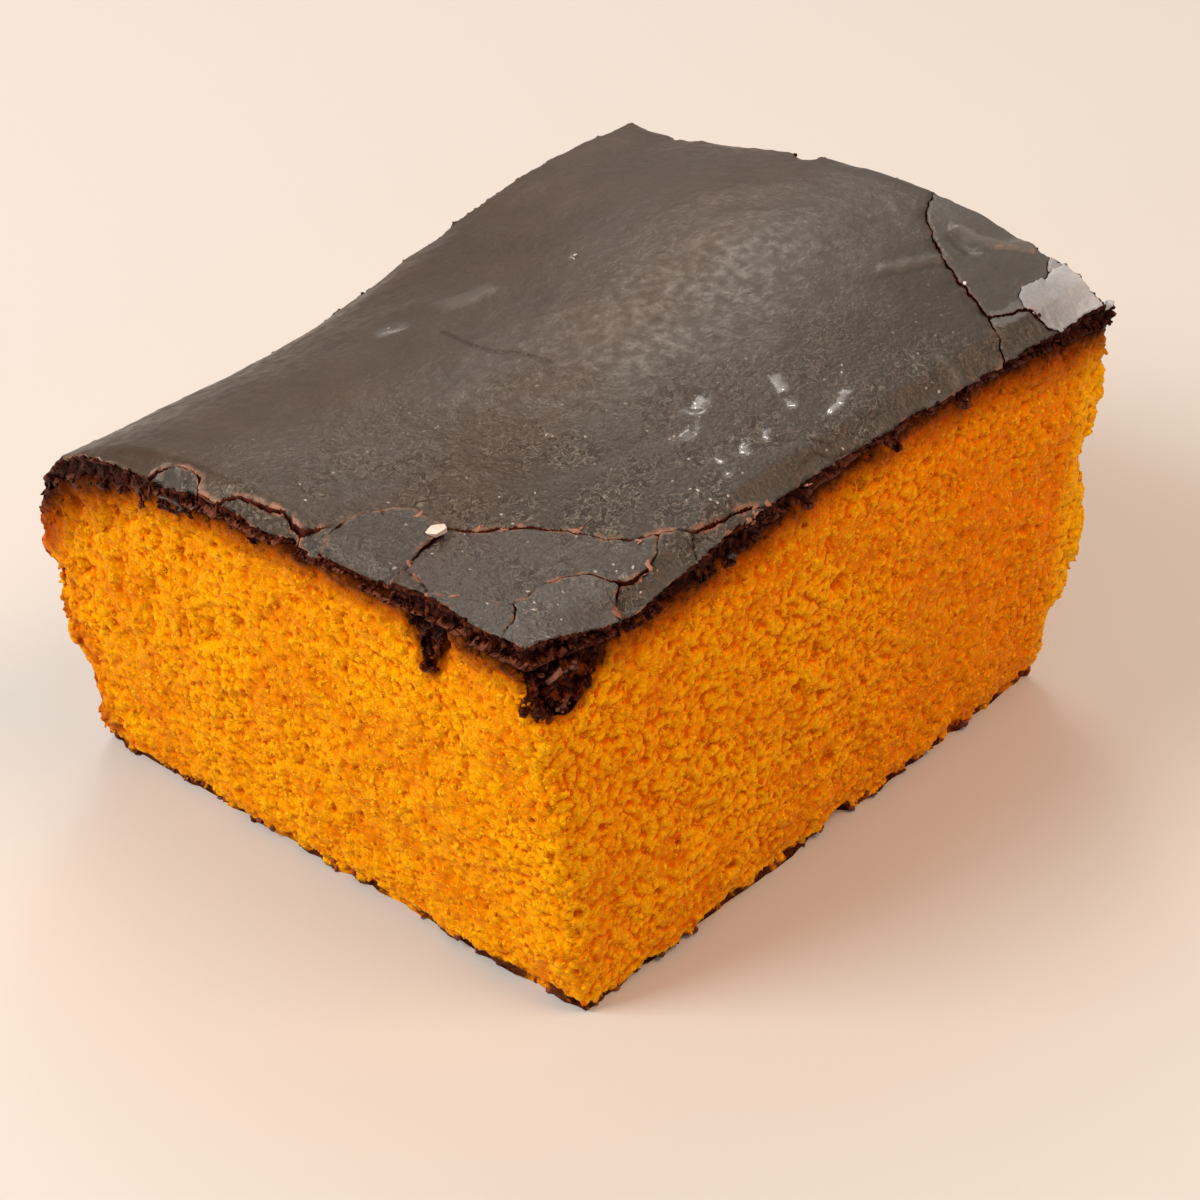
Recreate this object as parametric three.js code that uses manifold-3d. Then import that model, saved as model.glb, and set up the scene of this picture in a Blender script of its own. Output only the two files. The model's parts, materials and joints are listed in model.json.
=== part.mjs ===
// A slab of carrot sponge cut from a tray bake, under a thin chocolate glaze that has set hard and cracked.
// Millimetres, +Z up. The slab rests on z = 0, and the origin is at the middle of its base.
// X runs along the front cut face, from the baked side (left) to the right cut face. Y runs from front to back.
import * as THREE from "three";
import { mergeVertices } from "three/addons/utils/BufferGeometryUtils.js";
import Module from "manifold-3d";

const wasm = await Module();
wasm.setup();

// ---- Driving dimensions ----

const WIDTH = 70; // of the base, along X
const LENGTH = 76; // of the base, along Y

// The four corners of the base and of the top outline, as shares of WIDTH and LENGTH from the middle.
// A hand-cut slab is never square: its front leans out at the top and its right face leans in.
const BASE = {
  left: [-0.5, -0.53],
  front: [0.5, -0.5],
  right: [0.54, 0.497],
  back: [-0.445, 0.493],
};
const RIM = {
  left: [-0.521, -0.57],
  front: [0.441, -0.546],
  right: [0.573, 0.521],
  back: [-0.38, 0.533],
};
const HEIGHT = { left: 36, front: 46.3, right: 50.6, back: 48.4 }; // of the glaze, at each corner

const FRONT_CROWN = 7; // the top rises this much along the front edge, steeply at the baked side
const BACK_CROWN = 5.3; // and this much along the back edge
const LEFT_SWAY = 1.8; // the baked side dips near its front and swells near its back
const RIGHT_CROWN = 0.9;
const RIGHT_DIP = { depth: 2.6, at: 0.16, spread: 0.11 }; // the glaze sags behind the front corner
// How far each side swells, and whether it swells low (under 1) or high (over 1).
const BELLY = {
  left: { out: 3.2, high: 2.6 },
  right: { out: 0.9, high: 0.85 },
  front: { out: 0.5, high: 0.85 },
  back: { out: 2.7, high: 0.9 },
};
const BACK_NOTCH = { depth: 1.3, at: 0.6, spread: 0.07 }; // the back tears inwards along this height
const WOBBLE = 0.5; // torn unevenness of the cut faces

const GLAZE = 2.1; // usual thickness of the glaze
const LIP_REACH = 0.07; // share of the top over which it thickens towards an edge
const FRONT_LIPS = [{ extra: 1.5, at: 0.36, spread: 0.34 }];
const RIGHT_LIPS = [
  { extra: 1.8, at: 0.32, spread: 0.13 },
  { extra: 1.2, at: 1, spread: 0.09 },
];
const RIM_FLARE = { left: 0.4, right: 0.4, front: 0.3, back: 1.6 }; // the rim is wider at its foot
const GAP = 0.3; // between two pieces that touch
const INSET = 0.4; // the sponge stops this far inside the rim of the glaze
const CRACK = 0.36; // width of a crack
const JAG = 0.3; // how far a crack strays from a smooth line
const JAG_STEP = 1.4;

const TOP_CELLS = [20, 22]; // the same on both faces of the joint, so they run parallel
const SPONGE_CELLS = [...TOP_CELLS, 11];
const GLAZE_CELLS = [...TOP_CELLS, 1];
const LUMP_SEGMENTS = [14, 9];

// ---- The form of the top ----

const lerp = THREE.MathUtils.lerp;
const hump = (t) => Math.sin(Math.PI * t);
const bell = (t, at, spread) => Math.exp(-(((t - at) / spread) ** 2));

const frontEdge = (u) => lerp(HEIGHT.left, HEIGHT.front, u) + FRONT_CROWN * hump(u ** 0.6);
const backEdge = (u) =>
  lerp(HEIGHT.back, HEIGHT.right, u) + BACK_CROWN * hump(Math.max(0, (u - 0.08) / 0.92) ** 1.2);
const leftEdge = (v) => lerp(HEIGHT.left, HEIGHT.back, v) - LEFT_SWAY * hump(2 * v ** 1.4);
const rightEdge = (v) =>
  lerp(HEIGHT.front, HEIGHT.right, v) +
  RIGHT_CROWN * hump(v) -
  RIGHT_DIP.depth * bell(v, RIGHT_DIP.at, RIGHT_DIP.spread);

// A value at (u, v) between four corner values.
const blend = (corner, u, v) =>
  lerp(lerp(corner.left, corner.front, u), lerp(corner.back, corner.right, u), v);

// The top surface is a Coons patch on its four edges.
function topHeight(u, v) {
  const s = THREE.MathUtils.clamp(u, 0, 1);
  const t = THREE.MathUtils.clamp(v, 0, 1);
  const alongX = lerp(frontEdge(s), backEdge(s), t);
  const alongY = lerp(leftEdge(t), rightEdge(t), s);
  return alongX + alongY - blend(HEIGHT, s, t);
}

const lipAt = (lips, t) => lips.reduce((sum, lip) => sum + lip.extra * bell(t, lip.at, lip.spread), 0);

function glazeThickness(u, v) {
  const front = bell(v, 0, LIP_REACH) * lipAt(FRONT_LIPS, u);
  const right = bell(u, 1, LIP_REACH) * lipAt(RIGHT_LIPS, v);
  return GLAZE + front + right + 0.2 * Math.sin(9 * u + 2) * Math.sin(11 * v);
}

const glazeUnderside = (u, v) => topHeight(u, v) - glazeThickness(u, v);

// ---- Places in plan ----

function outlineAt(outline, u, v) {
  const part = (axis) => {
    const values = Object.entries(outline).map(([name, place]) => [name, place[axis]]);
    return blend(Object.fromEntries(values), u, v);
  };
  return [WIDTH * part(0), LENGTH * part(1)];
}

const onRim = (u, v) => outlineAt(RIM, u, v);

// (u, v) of a place in plan, found by stepping towards it.
function paramOf(x, y) {
  let u = 0.5;
  let v = 0.5;
  for (let i = 0; i < 12; i++) {
    const [px, py] = onRim(u, v);
    u += (x - px) / WIDTH;
    v += (y - py) / LENGTH;
  }
  return [u, v];
}

// How far a place on the outline moves when each side moves out by its own amount.
const outwards = (u, v, by) => [
  (u === 1 ? by.right : 0) - (u === 0 ? by.left : 0),
  (v === 1 ? by.back : 0) - (v === 0 ? by.front : 0),
];

// Slow unevenness from -1 to 1, for torn and spread surfaces.
const ripple = (a, b, seed) =>
  (Math.sin(0.55 * a + 1.3 * seed) +
    Math.sin(0.43 * b + 2.1 * seed + 0.6 * Math.sin(0.31 * a)) +
    Math.sin(0.37 * (a + b) + 3.7 * seed)) /
  3;

// ---- Solids ----

// A box of unit size, split into cells, whose points go where place(u, v, w) says.
function shapedBox(cells, place) {
  const box = new THREE.BoxGeometry(1, 1, 1, ...cells);
  const points = box.attributes.position;
  for (let i = 0; i < points.count; i++) {
    const uvw = [points.getX(i) + 0.5, points.getY(i) + 0.5, points.getZ(i) + 0.5];
    points.setXYZ(i, ...place(...uvw));
  }
  return box;
}

function solidOf(geometry) {
  const bare = geometry.clone().deleteAttribute("normal").deleteAttribute("uv");
  const merged = mergeVertices(bare, 1e-4);
  return new wasm.Manifold(
    new wasm.Mesh({
      numProp: 3,
      vertProperties: new Float32Array(merged.attributes.position.array),
      triVerts: new Uint32Array(merged.index.array),
    }),
  );
}

function geometryOf(solid) {
  const mesh = solid.getMesh();
  const geometry = new THREE.BufferGeometry();
  geometry.setAttribute("position", new THREE.BufferAttribute(new Float32Array(mesh.vertProperties), 3));
  geometry.setIndex(new THREE.BufferAttribute(new Uint32Array(mesh.triVerts), 1));
  geometry.computeVertexNormals();
  return geometry;
}

// ---- Sponge ----

// The base outline at the bottom, the rim at the top, with sides that swell between them.
function spongePoint(u, v, w) {
  const [bx, by] = outlineAt(BASE, u, v);
  const [rx, ry] = onRim(u, v);
  const height = w * (glazeUnderside(u, v) - GAP);
  const torn = WOBBLE * hump(w ** 0.5);
  const out = (side, along, seed) =>
    w * (RIM_FLARE[side] - INSET) +
    BELLY[side].out * hump(w ** BELLY[side].high) +
    torn * ripple(along, height, seed);
  const notch = BACK_NOTCH.depth * bell(w, BACK_NOTCH.at, BACK_NOTCH.spread);
  const [dx, dy] = outwards(u, v, {
    left: out("left", by, 1),
    right: out("right", by, 2),
    front: out("front", bx, 3),
    back: out("back", bx, 4) - notch,
  });
  return [lerp(bx, rx, w) + dx, lerp(by, ry, w) + dy, height];
}

// A rounded lump: a sphere drawn out to half sizes [x, y, z] and narrowed towards its lower end.
function lump(size, centre, narrowing, grow = 0) {
  const ball = new THREE.SphereGeometry(1, ...LUMP_SEGMENTS);
  const points = ball.attributes.position;
  for (let i = 0; i < points.count; i++) {
    const p = new THREE.Vector3().fromBufferAttribute(points, i);
    const taper = 1 - narrowing * THREE.MathUtils.smoothstep(-p.z, -0.4, 1);
    const rough = 1 + 0.05 * Math.sin(7 * p.x + 5 * p.z) * Math.sin(6 * p.y - 4 * p.z);
    points.setXYZ(
      i,
      centre[0] + p.x * rough * (size[0] + grow) * taper,
      centre[1] + p.y * rough * (size[1] + grow) * taper,
      centre[2] + p.z * rough * (size[2] + grow),
    );
  }
  return solidOf(ball);
}

// Where the glaze ran down before it set. Each run lies in a hollow of its own in the sponge.
const cornerTop = onRim(1, 0);
const runTop = onRim(0.812, 0);
const RUNS = {
  glaze_run_corner: {
    size: [3.6, 5.6, 6],
    centre: [cornerTop[0] - 1.2, cornerTop[1] + 5.6, glazeUnderside(1, 0.06) - 2.6],
    narrowing: 0.3,
  },
  glaze_run_front: {
    size: [2.7, 1.9, 5.2],
    centre: [runTop[0], runTop[1] + 0.9, glazeUnderside(0.812, 0) - 2.2],
    narrowing: 0.72,
  },
};

const FOOT_BITE = { v: 0.53, z: 0.5, size: [1.8, 2.1, 1.7] }; // out of the foot of the right face

function hollowed(block) {
  let solid = block;
  for (const run of Object.values(RUNS)) {
    solid = solid.subtract(lump(run.size, run.centre, run.narrowing, GAP));
  }
  const [x, y] = outlineAt(BASE, 1, FOOT_BITE.v);
  return solid.subtract(lump(FOOT_BITE.size, [x, y, FOOT_BITE.z], 0));
}

// ---- Glaze ----

// A point of the slab of glaze, from its underside (w = 0) to its top (w = 1), with an uneven broken rim.
function glazePoint(u, v, w) {
  const [x, y] = onRim(u, v);
  const chip = 0.35 * (1 + ripple(2.3 * x, 2.3 * y, 5));
  const out = (side) => RIM_FLARE[side] * (1 - w) - chip;
  const [dx, dy] = outwards(u, v, {
    left: out("left"),
    right: out("right"),
    front: out("front"),
    back: out("back"),
  });
  return [x + dx, y + dy, lerp(glazeUnderside(u, v), topHeight(u, v), w)];
}

// Cracks, as lines through shares (u, v) of the top. An end outside 0 to 1 runs off the edge.
const CRACKS = {
  long: [
    [0.39, -0.03],
    [0.42, 0.01],
    [0.489, 0.018],
    [0.524, 0.024],
    [0.56, 0.017],
    [0.6, 0.032],
    [0.606, 0.055],
    [0.624, 0.086],
    [0.65, 0.112],
    [0.69, 0.113],
    [0.735, 0.141],
    [0.772, 0.181],
    [0.841, 0.208],
    [0.903, 0.226],
    [0.937, 0.26],
    [0.965, 0.3],
    [0.973, 0.349],
    [0.99, 0.38],
    [1.03, 0.41],
  ],
  left_break: [
    [0.25, -0.03],
    [0.268, 0.012],
    [0.31, 0.02],
    [0.355, 0.014],
    [0.375, -0.03],
  ],
  sliver_end: [
    [0.558, 0.024],
    [0.578, -0.004],
    [0.586, -0.03],
  ],
  round_left: [
    [0.608, 0.05],
    [0.612, 0.02],
    [0.602, -0.03],
  ],
  beside_round: [
    [0.704, 0.125],
    [0.72, 0.075],
    [0.742, 0.035],
    [0.752, 0.013],
    [0.766, -0.035],
  ],
  small_front: [
    [0.744, 0.03],
    [0.791, 0.02],
    [0.81, 0.008],
    [0.825, -0.035],
  ],
  above_tip: [
    [0.806, 0.012],
    [0.835, 0.026],
    [0.862, 0.043],
    [0.9, 0.063],
    [0.893, 0.12],
    [0.912, 0.165],
    [0.955, 0.183],
    [0.96, 0.22],
    [0.93, 0.262],
  ],
  tip_split: [
    [0.894, 0.068],
    [0.93, 0.04],
    [0.975, -0.04],
  ],
  tip_side: [
    [0.948, 0.186],
    [0.975, 0.155],
    [1.04, 0.12],
  ],
  side_split: [
    [0.955, 0.296],
    [0.985, 0.275],
    [1.04, 0.262],
  ],
  across_corner: [
    [0.645, 1.03],
    [0.7, 0.945],
    [0.79, 0.882],
    [0.87, 0.858],
    [0.94, 0.838],
    [1.03, 0.775],
  ],
  pale_side: [
    [0.905, 1.04],
    [0.918, 0.955],
    [0.919, 0.908],
    [0.945, 0.894],
    [1.04, 0.922],
  ],
  small_side: [
    [0.868, 1.04],
    [0.89, 0.985],
    [0.924, 0.952],
  ],
  lower_side: [
    [0.925, 0.834],
    [0.938, 0.866],
    [0.952, 0.905],
  ],
};

// Each piece of the broken glaze: a place on it, and how its top leans (rise per mm along X and Y) and lifts.
const PLATES = {
  glaze_sheet: { seed: [0.5, 0.5], lean: [0, 0], lift: 0 },
  glaze_sliver_left: { seed: [0.31, 0.007], lean: [0, 0.8], lift: -0.6 },
  glaze_sliver_front: { seed: [0.5, 0.009], lean: [0, 0.55], lift: -0.35 },
  glaze_plate_chip: { seed: [0.592, 0.012], lean: [0.05, 0.3], lift: -0.3 },
  glaze_plate_round: { seed: [0.67, 0.045], lean: [0.01, 0.045], lift: 0.15 },
  glaze_plate_strip: { seed: [0.785, 0.004], lean: [0.02, 0.2], lift: -0.1 },
  glaze_plate_middle: { seed: [0.83, 0.12], lean: [0.008, 0.012], lift: -0.05 },
  glaze_plate_tip_front: { seed: [0.89, 0.022], lean: [-0.02, 0.05], lift: 0.1 },
  glaze_plate_tip: { seed: [0.95, 0.09], lean: [-0.015, 0.01], lift: 0.25 },
  glaze_plate_side: { seed: [0.985, 0.21], lean: [-0.06, 0], lift: -0.15 },
  glaze_plate_side_back: { seed: [0.992, 0.32], lean: [-0.1, 0], lift: -0.2 },
  glaze_plate_back: { seed: [0.84, 0.93], lean: [0, -0.02], lift: 0 },
  glaze_plate_pale: { seed: [0.965, 0.955], lean: [-0.05, 0.06], lift: 0.2 },
  glaze_plate_small: { seed: [0.9, 0.988], lean: [-0.03, 0.09], lift: 0.15 },
  glaze_plate_lower: { seed: [0.975, 0.86], lean: [-0.03, 0], lift: 0 },
};

// A crack's centre line in plan: a smooth curve through its points, broken into short stretches that stray to
// either side.
function crackLine(shares, seed) {
  const points = shares.map(([u, v]) => new THREE.Vector3(...onRim(u, v), 0));
  const curve = new THREE.CatmullRomCurve3(points, false, "centripetal");
  const steps = Math.max(3, Math.round(curve.getLength() / JAG_STEP));
  return curve.getSpacedPoints(steps).map((point, i) => {
    const along = curve.getTangentAt(i / steps);
    const stray = i === 0 || i === steps ? 0 : JAG * Math.sin(12.9898 * (i + 1) + 4.7 * seed);
    return new THREE.Vector2(point.x - along.y * stray, point.y + along.x * stray);
  });
}

// A thin upright wall along a crack, tall enough to pass through the glaze.
function crackBlade(shares, seed) {
  const line = crackLine(shares, seed);
  const across = line.map((point, i) => {
    const before = line[Math.max(0, i - 1)];
    const after = line[Math.min(line.length - 1, i + 1)];
    const along = after.clone().sub(before).normalize();
    return new THREE.Vector2(-along.y, along.x).multiplyScalar(CRACK / 2);
  });
  const oneSide = line.map((point, i) => point.clone().add(across[i]));
  const otherSide = line.map((point, i) => point.clone().sub(across[i])).reverse();
  const section = new THREE.Shape([...oneSide, ...otherSide]);
  const tall = 2 * HEIGHT.back;
  return solidOf(new THREE.ExtrudeGeometry(section, { depth: tall, bevelEnabled: false }));
}

// Chips out of the far edge of the glaze.
const EDGE_CHIPS = [
  { u: 0.4, v: 1.012, size: [2.2, 2.4, 3.5] },
  { u: 0.13, v: 1.012, size: [3.0, 2.0, 3.5] },
];

function brokenGlaze() {
  let glaze = solidOf(shapedBox(GLAZE_CELLS, glazePoint));
  for (const chip of EDGE_CHIPS) {
    const centre = [...onRim(chip.u, chip.v), topHeight(chip.u, chip.v)];
    glaze = glaze.subtract(lump(chip.size, centre, 0));
  }
  Object.values(CRACKS).forEach((shares, i) => {
    glaze = glaze.subtract(crackBlade(shares, i));
  });
  return glaze.decompose();
}

// The upright post at a plate's seed, used to tell which piece is which.
function seedPost(seed) {
  const post = new THREE.BoxGeometry(0.3, 0.3, 4 * HEIGHT.back);
  return solidOf(post.translate(...onRim(...seed), 0));
}

// Leans and lifts the top of a plate, and leaves its underside where it lies.
function leanTop(geometry, plate) {
  const [cx, cy] = onRim(...plate.seed);
  const points = geometry.attributes.position;
  for (let i = 0; i < points.count; i++) {
    const [x, y, z] = [points.getX(i), points.getY(i), points.getZ(i)];
    const [u, v] = paramOf(x, y);
    const share = (z - glazeUnderside(u, v)) / glazeThickness(u, v);
    const rise = plate.lift + plate.lean[0] * (x - cx) + plate.lean[1] * (y - cy);
    points.setZ(i, z + rise * THREE.MathUtils.clamp(share, 0, 1));
  }
  geometry.computeVertexNormals();
  return geometry;
}

// ---- The cake ----

const spongeMaterial = new THREE.MeshStandardMaterial({ color: 0xf0960c, roughness: 0.85, metalness: 0 });
const glazeMaterial = new THREE.MeshStandardMaterial({ color: 0x2c211b, roughness: 0.38, metalness: 0 });

const cake = new THREE.Group();

function addPiece(name, geometry, material) {
  const piece = new THREE.Mesh(geometry, material.clone());
  piece.name = name;
  cake.add(piece);
}

const block = solidOf(shapedBox(SPONGE_CELLS, spongePoint));
addPiece("sponge", geometryOf(hollowed(block)), spongeMaterial);

const pieces = brokenGlaze();
for (const [name, plate] of Object.entries(PLATES)) {
  const post = seedPost(plate.seed);
  const found = pieces.find((piece) => piece.intersect(post).volume() > 0);
  if (!found) throw new Error(`no piece of glaze lies at the seed of ${name}`);
  addPiece(name, leanTop(geometryOf(found), plate), glazeMaterial);
}

for (const [name, run] of Object.entries(RUNS)) {
  const flush = lump(run.size, run.centre, run.narrowing).intersect(block);
  addPiece(name, geometryOf(flush), glazeMaterial);
}

// The middle of the base is the origin.
const box = new THREE.Box3().setFromObject(cake, true);
cake.position.set(-(box.min.x + box.max.x) / 2, -(box.min.y + box.max.y) / 2, -box.min.z);

const part = new THREE.Group();
part.add(cake);

export default part;
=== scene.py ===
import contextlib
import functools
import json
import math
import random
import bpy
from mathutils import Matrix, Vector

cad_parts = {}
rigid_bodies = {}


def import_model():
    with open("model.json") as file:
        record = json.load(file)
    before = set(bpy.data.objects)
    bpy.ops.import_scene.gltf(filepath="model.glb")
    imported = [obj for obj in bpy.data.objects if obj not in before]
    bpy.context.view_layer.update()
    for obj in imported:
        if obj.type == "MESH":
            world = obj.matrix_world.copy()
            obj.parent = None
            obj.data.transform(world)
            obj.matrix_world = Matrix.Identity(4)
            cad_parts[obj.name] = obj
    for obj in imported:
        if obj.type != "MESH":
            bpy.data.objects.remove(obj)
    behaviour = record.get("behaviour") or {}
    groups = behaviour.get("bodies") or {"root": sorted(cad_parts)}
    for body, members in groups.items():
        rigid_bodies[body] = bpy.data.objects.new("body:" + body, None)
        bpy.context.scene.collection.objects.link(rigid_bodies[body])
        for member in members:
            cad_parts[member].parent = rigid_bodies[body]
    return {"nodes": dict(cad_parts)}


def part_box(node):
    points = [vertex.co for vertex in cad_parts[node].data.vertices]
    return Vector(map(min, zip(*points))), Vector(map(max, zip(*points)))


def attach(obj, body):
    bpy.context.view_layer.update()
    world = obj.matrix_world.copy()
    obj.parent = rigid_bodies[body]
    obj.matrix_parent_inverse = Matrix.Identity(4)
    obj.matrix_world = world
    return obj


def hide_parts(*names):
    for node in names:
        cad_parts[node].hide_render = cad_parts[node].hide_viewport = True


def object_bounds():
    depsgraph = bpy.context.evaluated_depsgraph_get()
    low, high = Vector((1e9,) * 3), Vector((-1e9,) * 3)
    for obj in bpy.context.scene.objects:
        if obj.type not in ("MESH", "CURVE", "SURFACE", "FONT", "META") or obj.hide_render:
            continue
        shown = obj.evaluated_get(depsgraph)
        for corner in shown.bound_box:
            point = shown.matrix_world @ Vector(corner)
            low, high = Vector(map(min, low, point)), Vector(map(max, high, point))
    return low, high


bl_info = {
    "name": "Carrot Cake Slab",
    "version": (1, 0, 0),
    "blender": (4, 5, 0),
    "location": "3D Viewport > Sidebar > Cake",
    "description": "A cut slab of carrot sponge under a cracked chocolate glaze",
    "category": "Add Mesh",
}

import bpy
from bpy.props import FloatProperty, FloatVectorProperty, IntProperty, PointerProperty
from mathutils import Matrix, Vector
from mathutils.kdtree import KDTree

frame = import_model()
CAD_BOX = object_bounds()
MM = 0.001

SLAB = "glaze_sheet"
RUNS = ("glaze_run_corner", "glaze_run_front")
PLATES = tuple(
    sorted(n for n in frame["nodes"] if n.startswith("glaze_") and n not in (SLAB, *RUNS))
)


# ---- Settings ----


def mm(name, value, description):
    return FloatProperty(
        name=name, description=description, default=value * MM, unit="LENGTH", precision=5
    )


def colour(name, value, description):
    return FloatVectorProperty(
        name=name,
        description=description,
        default=value,
        subtype="COLOR",
        size=3,
        min=0,
        max=1,
    )


class SpongeSettings(bpy.types.PropertyGroup):
    grid: mm("Grid", 0.225, "Size of the mesh cells that the torn crumb is modelled with")
    coarse: mm("First grid", 0.6, "Size of the mesh cells that the edges are rounded with")
    edge: mm("Corner", 2.8, "How far the upright edges are rounded off")
    tear: mm("Tear", 0.65, "Depth of the slow waves that tearing and cutting leave")
    lump: mm("Lumps", 0.45, "Height of the rounded lumps of crumb")
    lump_size: mm("Lump size", 1.25, "Width of a lump of crumb")
    fine: mm("Fine crumb", 0.07, "Height of the finest crumb")
    pore: mm("Pores", 1.0, "Depth of the open pores")
    pore_spacing: mm("Pore spacing", 5.2, "Usual distance between pores")
    swell: mm("Swell", 0.5, "How far the crumb rises under the lip of the glaze")
    soak: mm("Soak", 1.5, "How far chocolate has soaked down into the crumb")
    crust: mm("Base crust", 1.0, "Thickness of the browned crust at the base")
    crumb: colour("Crumb", (0.88, 0.275, 0.0003), "Usual crumb on the faces of the slab")
    pale: colour("Pale crumb", (0.96, 0.385, 0.0006), "Yellower crumb, in patches")
    # Painted highlight on the tops of the lumps and along the walls of the cells.
    crest: colour("Crests", (1.0, 0.51, 0.008), "Moist tops of the lumps")
    far: colour("Orange crumb", (0.86, 0.19, 0.0003), "Crumb at the far end of the right face")
    # Also painted shade in hollows, in pores and in the lows of the fine bump.
    deep: colour("Deep crumb", (0.66, 0.115, 0.0003), "Crumb inside pores and between lumps")
    tinged: colour("Baked crumb", (0.72, 0.10, 0.0025), "Orange patches on the baked side")
    baked: colour("Baked side", (0.34, 0.045, 0.003), "Browned patches on the baked side")
    browned: colour("Browned base", (0.10, 0.022, 0.006), "Crust at the base")
    # Partly chocolate stain, partly painted shadow under the lip of the glaze.
    stained: colour("Stained crumb", (0.32, 0.048, 0.001), "Crumb that chocolate has tinted")


class GrainSettings(bpy.types.PropertyGroup):
    size: mm("Grain size", 0.34, "Half the width of a usual loose grain")
    density: FloatProperty(
        name="Grains per square millimetre",
        description="How thickly grains lie on the two fresh faces",
        default=1.1,
        min=0,
    )
    chocolate: mm("Chocolate bits", 0.27, "Half the width of a usual bit of broken chocolate")
    seed: IntProperty(name="Seed", description="Arrangement of the grains", default=7)


class GlazeSettings(bpy.types.PropertyGroup):
    grid: mm("Grid", 0.28, "Size of the mesh cells of the large sheet")
    plate_grid: mm("Plate grid", 0.17, "Size of the mesh cells of the broken plates")
    froth: mm("Froth", 0.55, "Height of the lumps in the broken rim")
    undercut: mm("Undercut", 0.6, "How far the broken rim stands back under its lip")
    ripple: mm("Ripple", 0.14, "Height of the soft waves on top")
    crack: mm("Crack", 0.04, "Width of the cracks between the plates, below their rounded lips")
    chip: mm("Chips", 0.4, "Depth of the chips along the rim")
    sag: mm("Sag", 1.5, "How far the rim has sunk along the left part of the front")
    top: colour("Top", (0.037, 0.022, 0.0138), "Set top of the glaze, greyed a little by bloom")
    side: colour("Broken side", (0.058, 0.0072, 0.002), "Fresh break through the glaze")
    # Also used as painted shade in the pits between lumps, in grooves and under the lip.
    pit: colour("Pits", (0.010, 0.001, 0.0005), "Deep between the lumps of the break")
    torn: colour("Torn edge", (0.34, 0.145, 0.095), "Tan edge of a crack, and most flakes")
    # Painted highlight on the tops of the tallest lumps of a break.
    rim: colour("Thin rim", (0.27, 0.085, 0.048), "Paler chocolate where a broken rim is thin")
    # Partly bloom, partly a painted cool reflection.
    cool: colour("Cool patches", (0.040, 0.039, 0.036), "Greyer patches of the top")
    bloom: colour("Bloom", (0.33, 0.355, 0.39), "Plate at the far corner, pale with bloom")


class StageSettings(bpy.types.PropertyGroup):
    lens: FloatProperty(name="Lens", description="Focal length in millimetres", default=84)
    distance: mm("Distance", 303.72, "From the camera to the point that it looks at")
    azimuth: FloatProperty(
        name="Azimuth",
        description="Turn of the camera about the slab, from straight ahead of the front face",
        default=math.radians(40.937),
        subtype="ANGLE",
    )
    elevation: FloatProperty(
        name="Elevation",
        description="Height of the camera as an angle",
        default=math.radians(36.912),
        subtype="ANGLE",
    )
    floor: colour("Floor", (0.62, 0.61, 0.60), "Plain pale floor")


# ---- Small helpers ----


def deselect():
    for thing in bpy.context.selected_objects:
        thing.select_set(False)


def activate(piece):
    deselect()
    piece.select_set(True)
    bpy.context.view_layer.objects.active = piece


@contextlib.contextmanager
def editing():
    """Edit mode, with everything selected."""
    bpy.ops.object.mode_set(mode="EDIT")
    bpy.ops.mesh.select_all(action="SELECT")
    yield
    bpy.ops.object.mode_set(mode="OBJECT")


def copy_of(node, name):
    """A copy of a CAD node with its loose triangles joined."""
    source = frame["nodes"][node]
    piece = bpy.data.objects.new(name, source.data.copy())
    piece.data.name = name
    piece.data.materials.clear()
    bpy.context.scene.collection.objects.link(piece)
    activate(piece)
    with editing():
        bpy.ops.mesh.remove_doubles(threshold=1e-6)
    return piece


def apply_modifier(piece, kind, **settings):
    activate(piece)
    modifier = piece.modifiers.new(kind.title(), kind)
    for name, value in settings.items():
        setattr(modifier, name, value)
    bpy.ops.object.modifier_apply(modifier=modifier.name)


def add_lumps(piece, lumps):
    """Adds balls to a piece, which the next remesh merges with it."""
    balls = []
    for centre, radius in lumps:
        deselect()
        bpy.ops.mesh.primitive_ico_sphere_add(
            subdivisions=3, radius=radius * MM, location=Vector(centre) * MM
        )
        balls.append(bpy.context.active_object)
    return join([piece, *balls], piece.name)


def join(pieces, name):
    deselect()
    for piece in pieces:
        piece.select_set(True)
    bpy.context.view_layer.objects.active = pieces[0]
    bpy.ops.object.join()
    pieces[0].name = name
    pieces[0].data.name = name
    return pieces[0]


def finish_piece(piece, material, slot, *nodes):
    activate(piece)
    bpy.ops.object.shade_smooth()
    piece.data.materials.clear()
    piece.data.materials.append(material)
    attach(piece, "root")
    if nodes:
        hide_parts(*nodes)


# ---- Graphs of nodes ----


def joining(operation, turned=False):
    """A method of Value that joins it with something else."""

    def join(value, other):
        return value.graph.join(operation, *((other, value) if turned else (value, other)))

    return join


class Value:
    """A number, vector or colour in a node tree. Arithmetic with it adds nodes to the tree."""

    def __init__(self, graph, socket):
        self.graph = graph
        self.socket = socket

    __add__, __radd__ = joining("ADD"), joining("ADD", turned=True)
    __sub__, __rsub__ = joining("SUBTRACT"), joining("SUBTRACT", turned=True)
    __mul__, __rmul__ = joining("MULTIPLY"), joining("MULTIPLY", turned=True)
    __truediv__, __rtruediv__ = joining("DIVIDE"), joining("DIVIDE", turned=True)
    __pow__, __lt__, __gt__ = joining("POWER"), joining("LESS_THAN"), joining("GREATER_THAN")

    def __abs__(self):
        return self.graph.math("ABSOLUTE", self)

    def part(self, axis):
        return self.graph.value("ShaderNodeSeparateXYZ", {0: self}, axis)

    x = property(lambda self: self.part("X"))
    y = property(lambda self: self.part("Y"))
    z = property(lambda self: self.part("Z"))

    def dot(self, other):
        return self.graph.vector("DOT_PRODUCT", self, other)


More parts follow.
